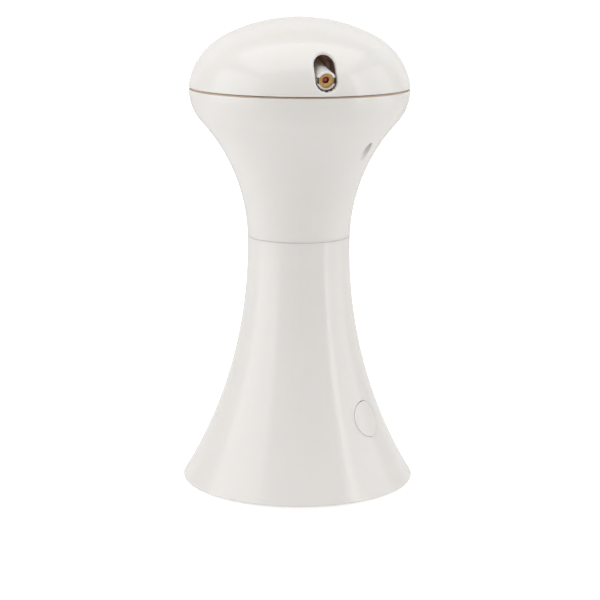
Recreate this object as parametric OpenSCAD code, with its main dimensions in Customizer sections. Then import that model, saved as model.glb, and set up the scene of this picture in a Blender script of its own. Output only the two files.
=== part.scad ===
// Automatic laser toy for cats: a waisted tower whose dome turns on a geared
// bearing and carries two tilting laser modules behind tall slots.
// Millimetres. The axis of the tower is Z, the floor is Z = 0, and the play
// button faces -Y.

/* [Tower outline] */
// Radius at which the base flare would meet the floor
base_r = 55.4; // [52:0.1:60]
// Radius of the waist, the narrowest part of the tower
waist_r = 23.75; // [22.5:0.25:27]
// Height at which the base flare has narrowed to the waist
waist_z = 111; // [104:1:122]
// Length of the straight stretch at the waist
waist_straight = 3.3; // [1:0.1:8]
// Height from the top of the waist to the widest part of the head
neck_h = 69.9; // [67:0.1:80]
// Radius of the head at its widest, where the dome turns
head_r = 50.68; // [49.5:0.1:56]
// Radius of the shoulder curve below the dome
shoulder_r = 22; // [18:0.5:26]
// Radius of the dome's lower curve
dome_low_r = 17.14; // [15:0.1:20]
// Radius of the dome's middle curve
dome_mid_r = 30.59; // [28:0.1:34]
// Wall thickness of the outer shells
wall = 2.2; // [1.6:0.1:2.8]
// Rounding of the base's bottom edge
edge_round = 0.4; // [0.3:0.1:1.6]

/* [Seams] */
// Height of the fixed seam above the start of the waist
seam_rise = 5.5; // [4:0.1:9]
// Open line at the fixed seam between base and neck
fixed_gap = 0.15; // [0.1:0.05:0.6]
// Open gap below the dome, where it turns
turn_gap = 0.85; // [0.5:0.05:1.2]

/* [Play button] */
// Height of the button's centre
button_z = 34; // [32:1:44]
// Radius of the button
button_r = 8.4; // [6:0.1:10]
// Gap around the button
button_gap = 0.2; // [0.15:0.05:0.5]
// Travel of the button
button_travel = 0.8; // [0.4:0.1:1.2]
// Depth of the finger dish in the button
button_dish = 0.35; // [0.1:0.05:0.8]

/* [Laser slots] */
// Width of each slot in the dome
slot_w = 10; // [9.8:0.1:12]
// Height of each slot
slot_h = 16.2; // [13:0.1:17]
// Height of the slot's lower end above the widest part of the head
slot_rise = 2.8; // [2.5:0.1:4]

/* [Lasers] */
// Distance from the tower's axis to each tilt pivot
pivot_out = 27; // [26:0.5:29]
// Downward tilt of each laser at rest, in degrees
rest_tilt = 10; // [8:0.5:12]
// Radius of the laser holder's barrel
holder_r = 4.25; // [4.1:0.05:4.6]
// Radius of the brass laser module
module_r = 3.25; // [3:0.05:3.4]
// Length of the brass laser module
module_l = 17; // [14:0.5:19]
// Distance of the barrel's front end from the pivot
barrel_l = 21.5; // [18:0.5:22]
// Radius of a tilt trunnion
trunnion_r = 1.5; // [1.2:0.1:1.8]

/* [Gears] */
// Tooth size of the last gear stage, its module
coarse = 0.8; // [0.75:0.01:0.85]
// Tooth size of the first two gear stages, their module
fine = 0.5; // [0.45:0.01:0.52]
// Tooth size of the tilt gears, their module
tilt_size = 0.6; // [0.58:0.01:0.62]
// Play between meshing teeth
gear_play = 0.14; // [0.1:0.02:0.24]
// Radius of the turning shaft under the dome
shaft_r = 5; // [4.5:0.1:5.5]
// Radius of the gear axles
axle_r = 1; // [0.8:0.05:1.2]

/* [Batteries] */
// Radius of one battery
cell_r = 7.25; // [7:0.05:7.25]
// Length of one battery with its button
cell_l = 50.5; // [49:0.25:50.5]

/* [Fits and fastenings] */
// Radial running clearance of a shaft in its bearing
running = 0.05; // [0.02:0.01:0.09]
// Gap around a piece that drops into its seat
drop_in = 0.25; // [0.15:0.05:0.4]
// Radius of a screw's shank
screw_r = 1.3; // [1.1:0.05:1.4]
// Radius of a screw's head
screw_head_r = 2.4; // [2.2:0.05:2.45]
// Height of a screw's head
screw_head_h = 1.6; // [1.2:0.1:1.7]
// Radius of the screw shafts that open under the head
screw_hole_r = 2.5; // [2.5:0.05:2.8]
// Distance of those screw shafts from the axis
screw_hole_out = 36.3; // [35:0.1:37.5]
// Radius of each rubber foot
foot_r = 4.75; // [4:0.25:5]
// Height that each foot stands out of the base
foot_h = 1.6; // [0.8:0.1:2.2]

/* [Hidden] */

// Steps round a full turn for small and for large round forms
small_fn = 48;
large_fn = 144;
// Length by which a cutting tool passes through what it cuts
past = 1;
// Overlap of neighbouring slices of the outline, inside the solid
lap = 0.05;
// Clearance of a screw's shank in the thread it has cut
thread_fit = 0.05;
// Clearance of a screw's shank in a plain hole
shank_gap = 0.35;
// Thickness of circuit boards
board_t = 1.6;
// Length of thread that holds in a boss, and in a thin post
thread_l = 6;
short_l = 4;
// Depth of a pilot hole below the end of its screw
pilot_rest = 1.5;

// Arc of the base flare: through the floor edge, upright at the waist
flare_drop = base_r - waist_r;
flare_arc = (flare_drop * flare_drop + waist_z * waist_z) / (2 * flare_drop);
flare_x = waist_r + flare_arc;
// Neck arc and shoulder arc join in one tangent point
neck_z = waist_z + waist_straight;
seam_z = neck_z + neck_h;
neck_out = head_r - waist_r;
arc_sum = (neck_out * neck_out + neck_h * neck_h) / (2 * neck_out);
neck_arc = arc_sum - shoulder_r;
neck_x = waist_r + neck_arc;
shoulder_x = head_r - shoulder_r;
join_angle = asin(neck_h / arc_sum);
// Dome: three arcs, the last centred on the axis
dome_a1 = 13.2;
dome_a2 = 62;
dome_c1 = [head_r - dome_low_r, seam_z];
dome_c2 = dome_c1 + (dome_low_r - dome_mid_r) * [cos(dome_a1), sin(dome_a1)];
crown_r = dome_mid_r + dome_c2.x / cos(dome_a2);
dome_c3 = dome_c2 + (dome_mid_r - crown_r) * [cos(dome_a2), sin(dome_a2)];
total_h = dome_c3.y + crown_r;

// Radius of the outline, moved inward by t, in the flare and in the shoulder
function flare_at(z, t) = flare_x - sqrt(pow(flare_arc + t, 2) - pow(waist_z - z, 2));
function shoulder_at(z, t) = shoulder_x + sqrt(pow(shoulder_r - t, 2) - pow(seam_z - z, 2));

// Fixed seam at the waist and turning seam below the dome
seam_mid = waist_z + seam_rise;
dome_z = seam_z + turn_gap;

// Levels of the base, from the floor up
cover_t = 2.2;
cover_top = foot_h + cover_t;
rim_r = flare_at(cover_top, wall) + 0.4;
cover_r = rim_r - drop_in;
cell_gap = 0.3;
cell_z = cover_top + cell_gap + cell_r;
cell_pitch = 2 * cell_r + cell_gap;
bay_x = 2 * cell_pitch + cell_gap / 2;
contact_l = 1.6;
bay_y = cell_l / 2 + contact_l;
bay_top = cell_z + cell_r + cell_gap;
bay_wall = 1.5;
roof_t = 1.5;
roof_z = bay_top + roof_t;
// Sheet contacts: thickness, half width and height of the plain ones, and the
// half width, half height and rise of the sprung ones
sheet_t = 0.4;
plate_half = 5;
leaf_half = 3;
leaf_rise = 1.35;
cover_screw_out = 42;
foot_out = cover_r - foot_r - 3;
foot_turn = 58;
foot_x = foot_out * cos(foot_turn);
foot_y = foot_out * sin(foot_turn);
foot_in = 0.8;
boss_r = 3.2;
boss_round = 3;
head_in = 0.9;

// Battery door and its hinge along X
hinge_r = cover_t / 2;
hinge_z = foot_h + hinge_r;
nib_r = 0.75;
nib_l = 1.1;
hinge_y = bay_y - hinge_r - drop_in;
door_x = bay_x - drop_in;
door_y = bay_y - drop_in;
// Sprung tongue of the door, between two cuts, with its finger ribs
tongue_x = 6;
tongue_l = 10;
tongue_cut = 1;
rib_step = 1.6;

// Control board on four stands over the battery bay
board_stand = 3.5;
board_z = roof_z + board_stand;
board_y = 9;
board_x = 20;
board_half_y = 15;
board_hole_x = 17;
board_hole_y = 12;

// Shelf in the base and floor of the neck, which meet face to face
shelf_t = 2.5;
shelf_top = seam_mid - 6;
neck_floor = 2.2;
neck_boss = 5.5;
wire_hole = 6;
neck_screw_out = 14;
socket_h = 3;
socket_t = 1.8;

// Button axis: square to the flare at the button's height
button_out = flare_at(button_z, 0);
button_lift = asin((waist_z - button_z) / flare_arc);
collar_l = 5.5;
flange_t = 1.2;
stem_l = 0.8;
stem_r = 2.2;
// The plunger's free length and its bore in the switch both leave room for the travel
plunger_l = button_travel + 0.2;
plunger_in = 1;
plunger_r = 1.7;
switch_bore = plunger_in + button_travel + 0.2;
switch_t = 3.4;
switch_x = 3;
board_d = collar_l + button_gap + flange_t + stem_l + plunger_l + switch_t;
post_side = 13;
post_wide = 2.6;

// Deck, gears and turning head, from the seam down and up
deck_t = 2.5;
deck_top = seam_z - 1.7;
deck_z = deck_top - deck_t;
deck_r = shoulder_at(deck_z, wall) - drop_in;
boss_top = deck_z - 8;
seat_z = boss_top - 6;
screw_boss_r = 5;
bush_wall = 2;
bush_r = shaft_r + running + bush_wall;
flange_r = bush_r + 2;
bush_flange = 0.8;
bush_low = 1;
washer_t = 0.6;
hub_t = 1;
washer_z = deck_top + bush_flange;
turret_z = washer_z + washer_t + hub_t;
turret_t = 1.7;
turret_top = turret_z + turret_t;
turret_r = dome_c1.x + dome_low_r - wall - drop_in;

// Teeth of the turning train and the places of its axles
out_teeth = 48;
big_teeth = 40;
small_teeth = 12;
motor_teeth = 10;
second_out = coarse * (out_teeth + small_teeth) / 2;
second_pos = [second_out, 0];
first_dir = 105;
first_gap = fine * (big_teeth + small_teeth) / 2;
first_pos = second_pos + first_gap * [cos(first_dir), sin(first_dir)];
motor_dir = 180 + atan2(first_pos.y, first_pos.x);
motor_gap = fine * (big_teeth + motor_teeth) / 2;
motor_pos = first_pos + motor_gap * [cos(motor_dir), sin(motor_dir)];
out_w = 4;
out_z = deck_z - 1.5 - out_w;
wheel_w = 2.5;
stage_gap = 1;
second_z = out_z - wheel_w - stage_gap;
first_z = second_z - wheel_w - stage_gap;
frame_t = 2;
frame_z = first_z - 2 - frame_t;
axle_in = 1.5;
press = 0.02;
frame_r = screw_hole_out - screw_boss_r - 1;
post_out = 26.5;
post_r = 2.8;
post_turns = [-75, 95, 180];
light_turns = [140, 215, 285];
shaft_bore = 2.5;
ring_t = 0.8;
shaft_low = out_z - 0.3 - ring_t - 1;
yaw_r = 10;
yaw_flat = 7.6;
yaw_l = 25;
nose_r = 3;
nose_l = 1.3;
shaft_pin = 1;

// Slip ring between deck and turning head
ring_in = flange_r + 1.2;
track_w = 2;
track_step = 4;
tracks = 3;
ring_out = ring_in + tracks * track_step + 1;
ring_board_t = 0.8;
track_t = 0.1;
track_z = deck_top + ring_board_t;

// Slots, pivots and tilt gears in the head
slot_r = slot_w / 2;
slot_z = seam_z + slot_rise + slot_r;
laser_turn = -132.5;
pivot_z = slot_z + (barrel_l * cos(rest_tilt)) * tan(rest_tilt) - 0.25;
bore_r = module_r + running;
clamp_gap = 0.3;
notch_h = 3;
notch_l = 3;
front_set = 0.6;
barrel_back = barrel_l - module_l - 6;
barrel_edge = 0.3;
// Laser module: aperture, flare of the aperture, bore for the lens and its rings
aperture_r = 1.35;
aperture_out = 2.35;
aperture_l = 1.4;
lens_r = 2.5;
lens_t = 1.2;
module_wall = 0.65;
module_cap = 3;
ring_cut = 0.3;
diode_l = 7;
diode_x = 2.8;
plate_y = holder_r + 0.15;
plate_t = 2;
stand_y = plate_y + plate_t + 0.4;
stand_t = 3;
stand_w = 6;
cap_h = 3.5;
sector_teeth = 60;
tilt_teeth = 10;
// First and last tooth that the sector keeps of its full ring of teeth
sector_first = 25;
sector_last = 32;
spoke_r = 3.4;
sector_r = tilt_size * sector_teeth / 2;
tilt_gap = tilt_size * (sector_teeth + tilt_teeth) / 2;
tilt_r = pivot_out - tilt_gap;
tilt_motor_x = 9.6;
tilt_motor_z = 12;
tilt_motor_l = 15;
tilt_shaft_r = 0.75;
dome_screw_out = 40;
dome_screw_turn = 45;

white = "#ECEAE4";
inner_white = "#D9D7D0";
steel = "#B8BABC";
board_green = "#2E6B45";

// ---- Helpers ----------------------------------------------------------

// One slice of the outline: a convex arc about c, filled in to the axis
module arc_band(c, r, z0, z1) {
    translate([0, z0]) square([c.x, z1 - z0]);
    intersection() {
        translate(c) circle(r = r, $fn = 4 * large_fn);
        translate([c.x - 0.01, z0]) square([r + past, z1 - z0]);
    }
}

// One slice of the outline: filled from the axis to a hollow arc about c
module hollow_band(c, r, z0, z1, reach) {
    difference() {
        translate([0, z0]) square([reach, z1 - z0]);
        translate(c) circle(r = r, $fn = 4 * large_fn);
    }
}

// Half section of the whole tower, moved inward by t
module outline(t) {
    z_join = seam_z - (shoulder_r - t) * sin(join_angle);
    z_low = seam_z + (dome_low_r - t) * sin(dome_a1);
    z_mid = dome_c2.y + (dome_mid_r - t) * sin(dome_a2);
    hollow_band([flare_x, waist_z], flare_arc + t, foot_h, waist_z, base_r);
    translate([0, waist_z - lap]) square([waist_r - t, neck_z - waist_z + 2 * lap]);
    hollow_band([neck_x, neck_z], neck_arc + t, neck_z, z_join, head_r);
    arc_band([shoulder_x, seam_z], shoulder_r - t, z_join - lap, seam_z);
    arc_band(dome_c1, dome_low_r - t, seam_z - lap, z_low + lap);
    arc_band(dome_c2, dome_mid_r - t, z_low, z_mid + lap);
    intersection() {
        translate(dome_c3) circle(r = crown_r - t, $fn = 4 * large_fn);
        translate([0, z_mid]) square([head_r, total_h]);
    }
}

// Solid of the tower between two heights, moved inward by t
module tower(t, z0, z1) {
    rotate_extrude($fn = large_fn) intersection() {
        outline(t);
        translate([0, z0]) square([base_r + past, z1 - z0]);
    }
}

// Hollow shell of the tower between two heights
module shell(t, z0, z1) {
    rotate_extrude($fn = large_fn) difference() {
        intersection() {
            outline(0);
            translate([0, z0]) square([base_r + past, z1 - z0]);
        }
        outline(t);
    }
}

module ring(r_in, r_out, h, fn = small_fn) {
    rotate_extrude($fn = fn) translate([r_in, 0]) square([r_out - r_in, h]);
}

// Rounded bar from [-x, -y] to [x, y], h high, with corner radius r
module rounded_block(x, y, h, r) {
    linear_extrude(h) {
        square([2 * (x - r), 2 * y], center = true);
        square([2 * x, 2 * (y - r)], center = true);
        for (i = [-1, 1], j = [-1, 1])
            translate([i * (x - r), j * (y - r)]) circle(r = r, $fn = small_fn);
    }
}

// Pan-head screw: head below z = 0, shank upward, cross slot in the head
module screw(l) {
    difference() {
        translate([0, 0, -screw_head_h])
            cylinder(r = screw_head_r, h = screw_head_h, $fn = small_fn);
        for (a = [0, 90]) rotate(a)
            translate([-1.4, -0.3, -screw_head_h - past]) cube([2.8, 0.6, past + 0.8]);
    }
    translate([0, 0, -0.1]) cylinder(r = screw_r, h = l + 0.1, $fn = small_fn);
}

// Hole that a screw's thread holds in
module pilot(l) {
    cylinder(r = screw_r + thread_fit, h = l, $fn = small_fn);
}

// Plain hole that a screw passes through
module clear_hole(l) {
    cylinder(r = screw_r + shank_gap, h = l, $fn = small_fn);
}

// Involute teeth: half the angle that a tooth fills at radius r
function involute(rb, r) = r <= rb ? 0 : tan(acos(rb / r)) * 180 / PI - acos(rb / r);
function tooth_half(teeth, size, r) =
    let (rp = teeth * size / 2, rb = rp * cos(20))
    90 / teeth - gear_play / rp * 90 / PI + involute(rb, rp) - involute(rb, r);
function tooth(teeth, size) =
    let (rp = teeth * size / 2, low = rp - 1.15 * size, tip = rp + 0.85 * size,
        mid = rp - 0.45 * size,
        rs = [low, mid, rp, tip],
        side = [for (r = rs) [r, tooth_half(teeth, size, r)]])
    concat([for (s = side) [s[0], -s[1]]], [for (i = [3:-1:0]) side[i]]);
function tooth_row(teeth, size, k0, k1) =
    [for (k = [k0:k1]) for (p = tooth(teeth, size))
        p[0] * [cos(p[1] + k * 360 / teeth), sin(p[1] + k * 360 / teeth)]];

// Turn that puts gear b, in direction dir from gear a, in mesh with it
function mesh_turn(dir, teeth_a, turn_a, teeth_b) =
    dir + 180 - 360 / teeth_b * (0.5 - (dir - turn_a) * teeth_a / 360);

// A spur gear of width w
module gear(teeth, size, w) {
    linear_extrude(w) polygon(tooth_row(teeth, size, 0, teeth - 1));
}

second_turn = mesh_turn(0, out_teeth, 0, small_teeth);
first_turn = mesh_turn(first_dir, big_teeth, 0, small_teeth);
motor_turn = mesh_turn(motor_dir, big_teeth, 0, motor_teeth);

// Places a piece on the button's axis: +Z outward, origin on the surface
module at_button() {
    translate([0, -button_out, button_z]) rotate([90 - button_lift, 0, 0]) children();
}

// Places a piece at one laser: +X outward, origin at its pivot, level
module at_laser(i) {
    rotate(laser_turn + 180 * i) translate([pivot_out, 0, pivot_z]) children();
}

// The same, tipped to the laser's resting tilt
module at_barrel(i) {
    at_laser(i) rotate([0, rest_tilt, 0]) children();
}

// ---- Base ---------------------------------------------------------------

module base_shell() {
    color(white) difference() {
        union() {
            rotate_extrude($fn = large_fn) base_section();
            intersection() {
                tower(wall / 2, foot_h, shelf_top);
                union() {
                    for (a = [0:90:270]) rotate(a)
                        translate([cover_screw_out, 0, cover_top])
                            cylinder(r = boss_r, h = 26, $fn = small_fn);
                    at_button() translate([0, 0, -collar_l])
                        ring(button_r + button_gap, button_r + button_gap + 1.6, collar_l);
                    for (i = [-1, 1]) at_button()
                        translate([i * post_side, 0, -board_d])
                            cylinder(r = post_wide, h = board_d, $fn = small_fn);
                }
            }
        }
        at_button() translate([0, 0, -collar_l - past])
            cylinder(r = button_r + button_gap, h = collar_l + 4, $fn = 2 * small_fn);
        for (a = [0:90:270]) rotate(a)
            translate([cover_screw_out, 0, cover_top - past])
                pilot(thread_l + pilot_rest + past);
        for (i = [-1, 1]) at_button()
            translate([i * post_side, 0, -board_d - past]) pilot(short_l + past + 1);
        for (i = [-1, 1]) translate([i * neck_screw_out, 0, shelf_top - shelf_t - past])
            clear_hole(shelf_t + 2 * past);
    }
}

// Section of the base: flared wall, rounded foot edge, rim seat and shelf
module base_section() {
    e = edge_round;
    cz = foot_h + e;
    cx = flare_x - sqrt(pow(flare_arc + e, 2) - pow(waist_z - cz, 2));
    z_round = cz + e * (waist_z - cz) / (flare_arc + e);
    difference() {
        union() {
            intersection() {
                outline(0);
                translate([0, z_round]) square([base_r + past, seam_mid - fixed_gap / 2 - z_round]);
            }
            translate([0, foot_h]) square([cx, z_round - foot_h + lap]);
            intersection() {
                translate([cx, cz]) circle(r = e, $fn = small_fn);
                translate([cx - 0.01, foot_h]) square([e + past, z_round - foot_h + lap]);
            }
        }
        difference() {
            union() {
                outline(wall);
                square([rim_r, cover_top]);
            }
            translate([wire_hole, shelf_top - shelf_t])
                square([waist_r - wire_hole, shelf_t]);
        }
    }
}

module bottom_cover() {
    color(inner_white) difference() {
        union() {
            translate([0, 0, foot_h]) cylinder(r = cover_r, h = cover_t, $fn = large_fn);
            translate([0, 0, foot_h])
                rounded_block(bay_x + bay_wall, bay_y + bay_wall, roof_z - foot_h, boss_round);
            for (i = [-1, 1], j = [-1, 1])
                translate([i * board_hole_x, board_y + j * board_hole_y, roof_z - 0.1])
                    cylinder(r = screw_head_r, h = board_stand + 0.1, $fn = small_fn);
        }
        translate([-bay_x, -bay_y, foot_h - past])
            cube([2 * bay_x, 2 * bay_y, bay_top - foot_h + past]);
        for (i = [-1, 1]) translate([i * (bay_x - past), hinge_y, hinge_z])
            rotate([0, i * 90, 0])
                cylinder(r = nib_r + running, h = past + nib_l + 0.2, $fn = small_fn);
        for (i = [-1, 1], j = [-1, 1]) translate([i * foot_x, j * foot_y, foot_h - past])
            cylinder(r = foot_r + running, h = past + foot_in, $fn = small_fn);
        for (a = [0:90:270]) rotate(a) translate([cover_screw_out, 0, foot_h - past]) {
            clear_hole(cover_t + 2 * past);
            cylinder(r = screw_head_r + drop_in, h = past + head_in, $fn = small_fn);
        }
        for (i = [-1, 1], j = [-1, 1])
            translate([i * board_hole_x, board_y + j * board_hole_y, roof_z - 0.2])
                pilot(board_stand + past);
        translate([0, -bay_y - 4, foot_h - 3.2]) rotate([0, 90, 0])
            cylinder(r = 5, h = 2 * tongue_x + 2, center = true, $fn = small_fn);
    }
}

module battery_door() {
    color(inner_white) difference() {
        union() {
            translate([-door_x, -door_y, foot_h])
                cube([2 * door_x, door_y + hinge_y, cover_t]);
            translate([-door_x, hinge_y, hinge_z]) rotate([0, 90, 0])
                cylinder(r = hinge_r, h = 2 * door_x, $fn = small_fn);
            for (i = [-1, 1]) translate([i * (door_x - 0.1), hinge_y, hinge_z])
                rotate([0, i * 90, 0])
                    cylinder(r = nib_r, h = drop_in + nib_l, $fn = small_fn);
        }
        for (i = [-1, 1])
            translate([i * tongue_x - tongue_cut / 2, -door_y - past, foot_h - past])
                cube([tongue_cut, tongue_l + past, cover_t + 2 * past]);
        for (k = [0:4])
            translate([-tongue_x + 2, -door_y + rib_step * (k + 1.5), foot_h - past])
                cube([2 * tongue_x - 4, rib_step / 2, past + 0.4]);
    }
}

module rubber_feet() {
    color("#3B3B3D") for (i = [-1, 1], j = [-1, 1]) translate([i * foot_x, j * foot_y, 0])
        cylinder(r = foot_r, h = foot_h + foot_in, $fn = small_fn);
}

module aa_cells() {
    color("#4E7D8C") for (k = [0:3])
        translate([(k - 1.5) * cell_pitch, 0, cell_z]) rotate([k % 2 == 0 ? 90 : -90, 0, 0]) {
            translate([0, 0, -cell_l / 2])
                cylinder(r = cell_r, h = cell_l - 1.2, $fn = small_fn);
            translate([0, 0, -cell_l / 2])
                cylinder(r = 2.7, h = cell_l, $fn = small_fn);
        }
}

// Sheet contact against one end of the bay, for the cell in column k
module contact_plate(k, side) {
    translate([(k - 1.5) * cell_pitch - plate_half,
        side * bay_y - (side > 0 ? sheet_t : 0), cell_z - plate_half])
        cube([2 * plate_half, sheet_t, 2 * plate_half]);
}

module leaf_contacts() {
    s = sheet_t;
    bend = 0.68 * plate_half;
    leaf = [[0, -plate_half], [s, -plate_half], [s, -bend], [leaf_rise, 0], [s, bend],
        [s, plate_half], [0, plate_half]];
    color(steel) for (k = [0:3]) {
        side = k % 2 == 0 ? 1 : -1;
        translate([(k - 1.5) * cell_pitch + leaf_half * side, side * bay_y, cell_z])
            rotate([0, 0, side > 0 ? 180 : 0]) rotate([90, 0, 90])
                linear_extrude(2 * leaf_half) difference() {
                    polygon(leaf);
                    polygon([[-past, s - bend], [s * 0.6, s - bend], [leaf_rise - s - 0.05, 0],
                        [s * 0.6, bend - s], [-past, bend - s]]);
                }
    }
}

module plate_contacts() {
    color(steel) for (k = [0:3]) {
        side = k % 2 == 0 ? -1 : 1;
        contact_plate(k, side);
        translate([(k - 1.5) * cell_pitch, side * (bay_y - sheet_t + 0.05), cell_z])
            rotate([side * 90, 0, 0])
                cylinder(r = leaf_half, h = contact_l - sheet_t, $fn = small_fn);
    }
}

module cover_screws() {
    color(steel) for (a = [0:90:270]) rotate(a)
        translate([cover_screw_out, 0, foot_h + head_in])
            screw(cover_t - head_in + thread_l);
}

module neck_screws() {
    color(steel) for (i = [-1, 1])
        translate([i * neck_screw_out, 0, shelf_top - shelf_t]) screw(shelf_t + thread_l - 1);
}

// ---- Button and boards --------------------------------------------------

module play_button() {
    dish_ball = (button_r * button_r / 2) / button_dish;
    color(white) intersection() {
        tower(0, foot_h, shelf_top);
        at_button() difference() {
            union() {
                translate([0, 0, -collar_l - button_gap])
                    cylinder(r = button_r, h = collar_l + 4, $fn = 2 * small_fn);
                translate([0, 0, -collar_l - button_gap - flange_t])
                    cylinder(r = button_r + button_gap + 1.1, h = flange_t, $fn = 2 * small_fn);
                translate([0, 0, -collar_l - button_gap - flange_t - stem_l])
                    cylinder(r = stem_r, h = stem_l + 0.1, $fn = small_fn);
            }
            translate([0, 0, dish_ball - button_dish])
                sphere(r = dish_ball, $fn = large_fn);
            translate([0, 0, -collar_l - button_gap - flange_t - past])
                ring(stem_r + 1.8, button_r - 1.5, collar_l + flange_t + past - 1.6);
        }
    }
}

module switch_plunger() {
    color("#2B2B2B") at_button() translate([0, 0, -board_d + switch_t - plunger_in])
        cylinder(r = plunger_r, h = plunger_l + plunger_in, $fn = small_fn);
}

module tact_switch() {
    color("#3A3A3C") at_button() translate([0, 0, -board_d]) difference() {
        translate([-switch_x, -switch_x, 0]) cube([2 * switch_x, 2 * switch_x, switch_t]);
        translate([0, 0, switch_t - switch_bore])
            cylinder(r = plunger_r + running, h = switch_bore + past, $fn = small_fn);
    }
}

module button_board() {
    color(board_green) at_button() translate([0, 0, -board_d - board_t]) difference() {
        translate([-post_side - 3.5, -5.5, 0]) cube([2 * post_side + 7, 11, board_t]);
        for (i = [-1, 1]) translate([i * post_side, 0, -past]) clear_hole(board_t + 2 * past);
    }
}

module button_screws() {
    color(steel) at_button() for (i = [-1, 1])
        translate([i * post_side, 0, -board_d - board_t]) screw(board_t + short_l);
}

module main_board() {
    color(board_green) difference() {
        translate([-board_x, board_y - board_half_y, board_z])
            cube([2 * board_x, 2 * board_half_y, board_t]);
        for (i = [-1, 1], j = [-1, 1])
            translate([i * board_hole_x, board_y + j * board_hole_y, board_z - past])
                clear_hole(board_t + 2 * past);
    }
}

module board_parts() {
    top = board_z + board_t;
    color("#2A2A2C") {
        translate([-5, board_y - 4, top]) cube([8, 8, 1.6]);
        translate([7, board_y - 2, top]) cube([5, 4, 1.4]);
        for (i = [-1, 1]) translate([i * 6 - 4, board_y + 7.5, top]) cube([8, 5, 6]);
        translate([0, board_y - 9, top]) cylinder(r = 3.15, h = 9, $fn = small_fn);
        translate([-11, board_y - 1, top]) cylinder(r = 2.5, h = 7, $fn = small_fn);
    }
}

module board_screws() {
    color(steel) for (i = [-1, 1], j = [-1, 1])
        translate([i * board_hole_x, board_y + j * board_hole_y, board_z + board_t])
            mirror([0, 0, 1]) screw(board_t + board_stand - head_in);
}

// ---- Neck and gearbox ---------------------------------------------------

module neck_housing() {
    ring_r = waist_r - wall - running * 2;
    color(white) difference() {
        union() {
            shell(wall, seam_mid + fixed_gap / 2, seam_z);
            translate([0, 0, shelf_top])
                ring(ring_r - socket_t, ring_r, seam_mid + socket_h - shelf_top, large_fn);
            translate([0, 0, seam_mid + fixed_gap / 2])
                ring(ring_r - socket_t, waist_r - wall / 2, socket_h - fixed_gap / 2, large_fn);
            translate([0, 0, shelf_top]) ring(wire_hole, ring_r - 0.5, neck_floor, large_fn);
            for (i = [-1, 1]) translate([i * neck_screw_out, 0, shelf_top + neck_floor - 0.1])
                cylinder(r = boss_r, h = neck_boss, $fn = small_fn);
            intersection() {
                tower(wall / 2, seam_mid, seam_z);
                for (i = [-1, 1]) translate([0, i * screw_hole_out, seam_mid])
                    cylinder(r = screw_boss_r, h = boss_top - seam_mid, $fn = small_fn);
            }
        }
        for (i = [-1, 1]) translate([0, i * screw_hole_out, 0]) {
            translate([0, 0, seam_mid])
                cylinder(r = screw_hole_r, h = seat_z - seam_mid, $fn = small_fn);
            translate([0, 0, seat_z - 0.1]) clear_hole(boss_top - seat_z + past);
        }
        for (i = [-1, 1]) translate([i * neck_screw_out, 0, shelf_top - past]) pilot(thread_l + past);
    }
}

module housing_screws() {
    color(steel) for (i = [-1, 1]) translate([0, i * screw_hole_out, seat_z])
        screw(boss_top - seat_z + thread_l);
}

module deck_plate() {
    color(inner_white) difference() {
        union() {
            translate([0, 0, deck_z]) cylinder(r = deck_r, h = deck_t, $fn = large_fn);
            for (i = [-1, 1]) translate([0, i * screw_hole_out, boss_top])
                cylinder(r = screw_boss_r, h = deck_z - boss_top + 0.1, $fn = small_fn);
        }
        translate([0, 0, deck_z - past])
            cylinder(r = bush_r + press, h = deck_t + 2 * past, $fn = 2 * small_fn);
        for (i = [-1, 1]) translate([0, i * screw_hole_out, boss_top - past])
            pilot(thread_l + pilot_rest + past);
        for (a = post_turns) rotate(a) translate([post_out, 0, deck_z - past])
            clear_hole(deck_t + 2 * past);
        for (p = [second_pos, first_pos]) translate([p.x, p.y, deck_z - past])
            cylinder(r = axle_r + press, h = axle_in + past, $fn = small_fn);
    }
}

module bearing_bush() {
    color("#C9A35B") difference() {
        union() {
            translate([0, 0, deck_z - bush_low])
                cylinder(r = bush_r, h = deck_t + bush_low, $fn = 2 * small_fn);
            translate([0, 0, deck_top]) cylinder(r = flange_r, h = bush_flange, $fn = 2 * small_fn);
        }
        translate([0, 0, deck_z - bush_low - past]) cylinder(r = shaft_r + running,
            h = deck_t + bush_low + bush_flange + 2 * past, $fn = 2 * small_fn);
    }
}

module gear_frame() {
    color(inner_white) difference() {
        union() {
            translate([0, 0, frame_z]) cylinder(r = frame_r, h = frame_t, $fn = large_fn);
            for (a = post_turns) rotate(a) translate([post_out, 0, frame_z])
                cylinder(r = post_r, h = deck_z - frame_z, $fn = small_fn);
        }
        translate([-5, -3, frame_z - past])
            cylinder(r = wire_hole, h = frame_t + 2 * past, $fn = small_fn);
        for (a = light_turns) rotate(a) translate([0.6 * frame_r, 0, frame_z - past])
            cylinder(r = 0.17 * frame_r, h = frame_t + 2 * past, $fn = small_fn);
        translate([motor_pos.x, motor_pos.y, frame_z - past])
            cylinder(r = nose_r + shank_gap, h = frame_t + 2 * past, $fn = small_fn);
        for (a = post_turns) rotate(a)
            translate([post_out, 0, deck_z - thread_l - pilot_rest])
                pilot(thread_l + pilot_rest + past);
        for (p = [second_pos, first_pos]) translate([p.x, p.y, frame_z - past])
            cylinder(r = axle_r + press, h = frame_t + 2 * past, $fn = small_fn);
    }
}

module frame_screws() {
    color(steel) for (a = post_turns) rotate(a) translate([post_out, 0, deck_top])
        mirror([0, 0, 1]) screw(deck_t + thread_l);
}

module yaw_motor() {
    color("#B4B6B8") translate([motor_pos.x, motor_pos.y, 0]) {
        translate([0, 0, frame_z - yaw_l]) intersection() {
            cylinder(r = yaw_r, h = yaw_l, $fn = 2 * small_fn);
            translate([-yaw_flat, -yaw_r - past, -past])
                cube([2 * yaw_flat, 2 * yaw_r + 2 * past, yaw_l + 2 * past]);
        }
        translate([0, 0, frame_z - 0.1]) cylinder(r = nose_r, h = nose_l, $fn = small_fn);
    }
}

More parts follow.
